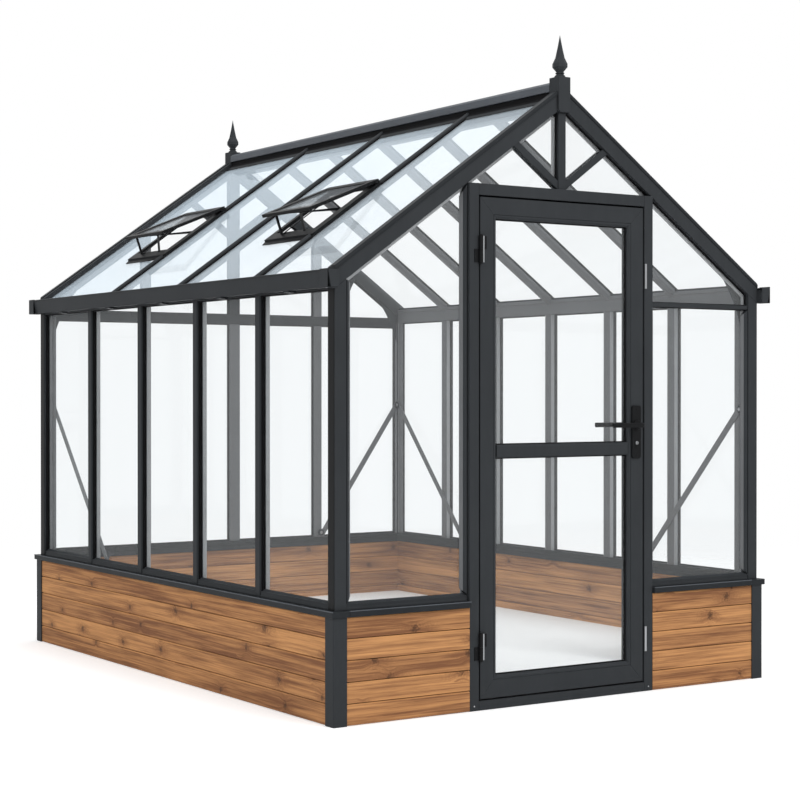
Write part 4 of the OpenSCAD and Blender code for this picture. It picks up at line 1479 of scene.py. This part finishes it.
def brace_ends():
    """Round plates with bolts at both ends of each brace."""
    plates, bolts = Shape(), Shape()
    end_length, plate, upper, lower = 0.08, 0.003, 0.030, 0.022
    washer = [(0.019, 0.0), (0.019, 0.0022), (0.0175, plate)]
    bolt = [(0.0085, 0.0), (0.0085, 0.005), (0.0070, 0.0062)]
    for points, normal in solids("wall_braces"):
        inwards = normal if normal.dot(HEART - middle(points)) > 0 else -normal
        lo, hi = extent(points)
        level = max(p.dot(inwards) for p in points)
        for end, z in ((hi.z, hi.z - upper), (lo.z, lo.z + lower)):
            centre = middle([p for p in points if abs(p.z - end) < end_length])
            centre += inwards * (level - centre.dot(inwards))
            centre.z = z
            plates.turned(centre, inwards, washer)
            bolts.turned(centre + inwards * plate, inwards, bolt, sides=6)
    plates.piece("brace_plates", "powder_coat", edge=0.0005)
    bolts.piece("brace_bolts", "brushed_steel", edge=0.0005)


class GREENHOUSE_OT_fixings(bpy.types.Operator):
    """Add brace plates, bolts and screw heads"""

    bl_idname = "greenhouse.fixings"
    bl_label = "Fixings"

    def execute(self, context):
        screws(sizes().screw_radius)
        brace_ends()
        return {"FINISHED"}


# Stage

SENSOR = 36.0
GROUND_RADIUS = 9.0
GROUND_FADE = (2.6, 7.0)
GROUND_LEVEL = -0.0005
WHITE = (1.0, 1.0, 1.0)
BLACK = (0.0, 0.0, 0.0)
# Name, place, size and power's property of each lamp
LAMPS = (
    ("front_lamp", (1.0, -7.4, 5.2), 4.0, "key"),
    ("top_lamp", (0.0, 0.0, 7.0), 5.0, "top"),
    ("left_lamp", (-7.0, -2.0, 4.6), 3.5, "side"),
)


def set_camera(scene, stage):
    """Camera at the photograph's place and angle."""
    lens = bpy.data.cameras.new("camera")
    lens.sensor_width = SENSOR
    lens.lens = stage.focal
    scene.camera = new_object("camera", lens)
    scene.camera.location = stage.eye
    scene.camera.rotation_euler = (math.pi / 2 - stage.pitch, 0.0, -stage.yaw)


def set_background(scene, stage):
    """White background for the eye, metal and glass, and softer light from all around."""
    scene.world = bpy.data.worlds.new("studio")
    scene.world.use_nodes = True
    s = Surface(scene.world.node_tree)
    light = s.node("ShaderNodeBackground", {}, {"Color": s.mix(s.seen(), times(WHITE, stage.fill), WHITE)})
    s.node("ShaderNodeOutputWorld", {}, {"Surface": light})


def set_ground(stage):
    """Pale disc that fades into the background."""
    mesh = bmesh.new()
    bmesh.ops.create_circle(mesh, cap_ends=True, radius=GROUND_RADIUS, segments=96)
    data = bpy.data.meshes.new("ground")
    mesh.to_mesh(data)
    mesh.free()
    made = new_object("ground", data)
    made.location.z = GROUND_LEVEL
    material, s = new_surface("ground")
    place = s.place()
    s.principled({
        "Base Color": s.mix(s.noise(place, 1.5), times(stage.ground, 0.99), stage.ground),
        "Roughness": 0.9,
        "Specular IOR Level": 0.1,
        "Emission Color": s.mix(s.seen(), BLACK, times(WHITE, stage.floor_glow)),
        "Emission Strength": 1.0,
        "Alpha": s.fade(s.size(place), *GROUND_FADE),
    })
    data.materials.append(material)


def set_lamp(name, place, size, power):
    """Soft square lamp that looks at the middle of the greenhouse."""
    light = bpy.data.lights.new(name, "AREA")
    light.size = size
    light.energy = power
    made = new_object(name, light)
    made.location = place
    made.rotation_euler = (HEART - Vector(place)).to_track_quat("-Z", "Y").to_euler()


class GREENHOUSE_OT_stage(bpy.types.Operator):
    """Set the camera, the lamps, the pale ground and the white background"""

    bl_idname = "greenhouse.stage"
    bl_label = "Stage"

    def execute(self, context):
        scene = context.scene
        stage = scene.greenhouse_stage
        scene.view_settings.view_transform = "Standard"
        set_camera(scene, stage)
        set_background(scene, stage)
        set_ground(stage)
        for name, place, size, power in LAMPS:
            set_lamp(name, place, size, getattr(stage, power))
        return {"FINISHED"}


MAKERS = (
    GREENHOUSE_OT_frame_finish,
    GREENHOUSE_OT_base_boards,
    GREENHOUSE_OT_glazing_beads,
    GREENHOUSE_OT_wall_trims,
    GREENHOUSE_OT_roof_bars,
    GREENHOUSE_OT_roof_trims,
    GREENHOUSE_OT_roof_vents,
    GREENHOUSE_OT_door_leaf,
    GREENHOUSE_OT_door_furniture,
    GREENHOUSE_OT_fixings,
    GREENHOUSE_OT_stage,
)


class GREENHOUSE_PT_panel(bpy.types.Panel):
    """Buttons for the pieces of the greenhouse"""

    bl_idname = "GREENHOUSE_PT_panel"
    bl_label = "Greenhouse"
    bl_space_type = "VIEW_3D"
    bl_region_type = "UI"
    bl_category = "Greenhouse"

    def draw(self, context):
        for maker in MAKERS:
            self.layout.operator(maker.bl_idname)


GROUPS = (
    ("greenhouse_sizes", GreenhouseSizes),
    ("greenhouse_colours", GreenhouseColours),
    ("greenhouse_stage", GreenhouseStage),
)


def register():
    """Register the groups, operators and panel."""
    for name, group in GROUPS:
        bpy.utils.register_class(group)
        setattr(bpy.types.Scene, name, PointerProperty(type=group))
    for cls in (*MAKERS, GREENHOUSE_PT_panel):
        bpy.utils.register_class(cls)


def unregister():
    """Take back what register did."""
    for cls in (GREENHOUSE_PT_panel, *reversed(MAKERS)):
        bpy.utils.unregister_class(cls)
    for name, group in reversed(GROUPS):
        delattr(bpy.types.Scene, name)
        bpy.utils.unregister_class(group)


def main():
    """Make every piece."""
    register()
    for maker in MAKERS:
        group, name = maker.bl_idname.split(".")
        getattr(getattr(bpy.ops, group), name)()


if __name__ == "__main__":
    main()
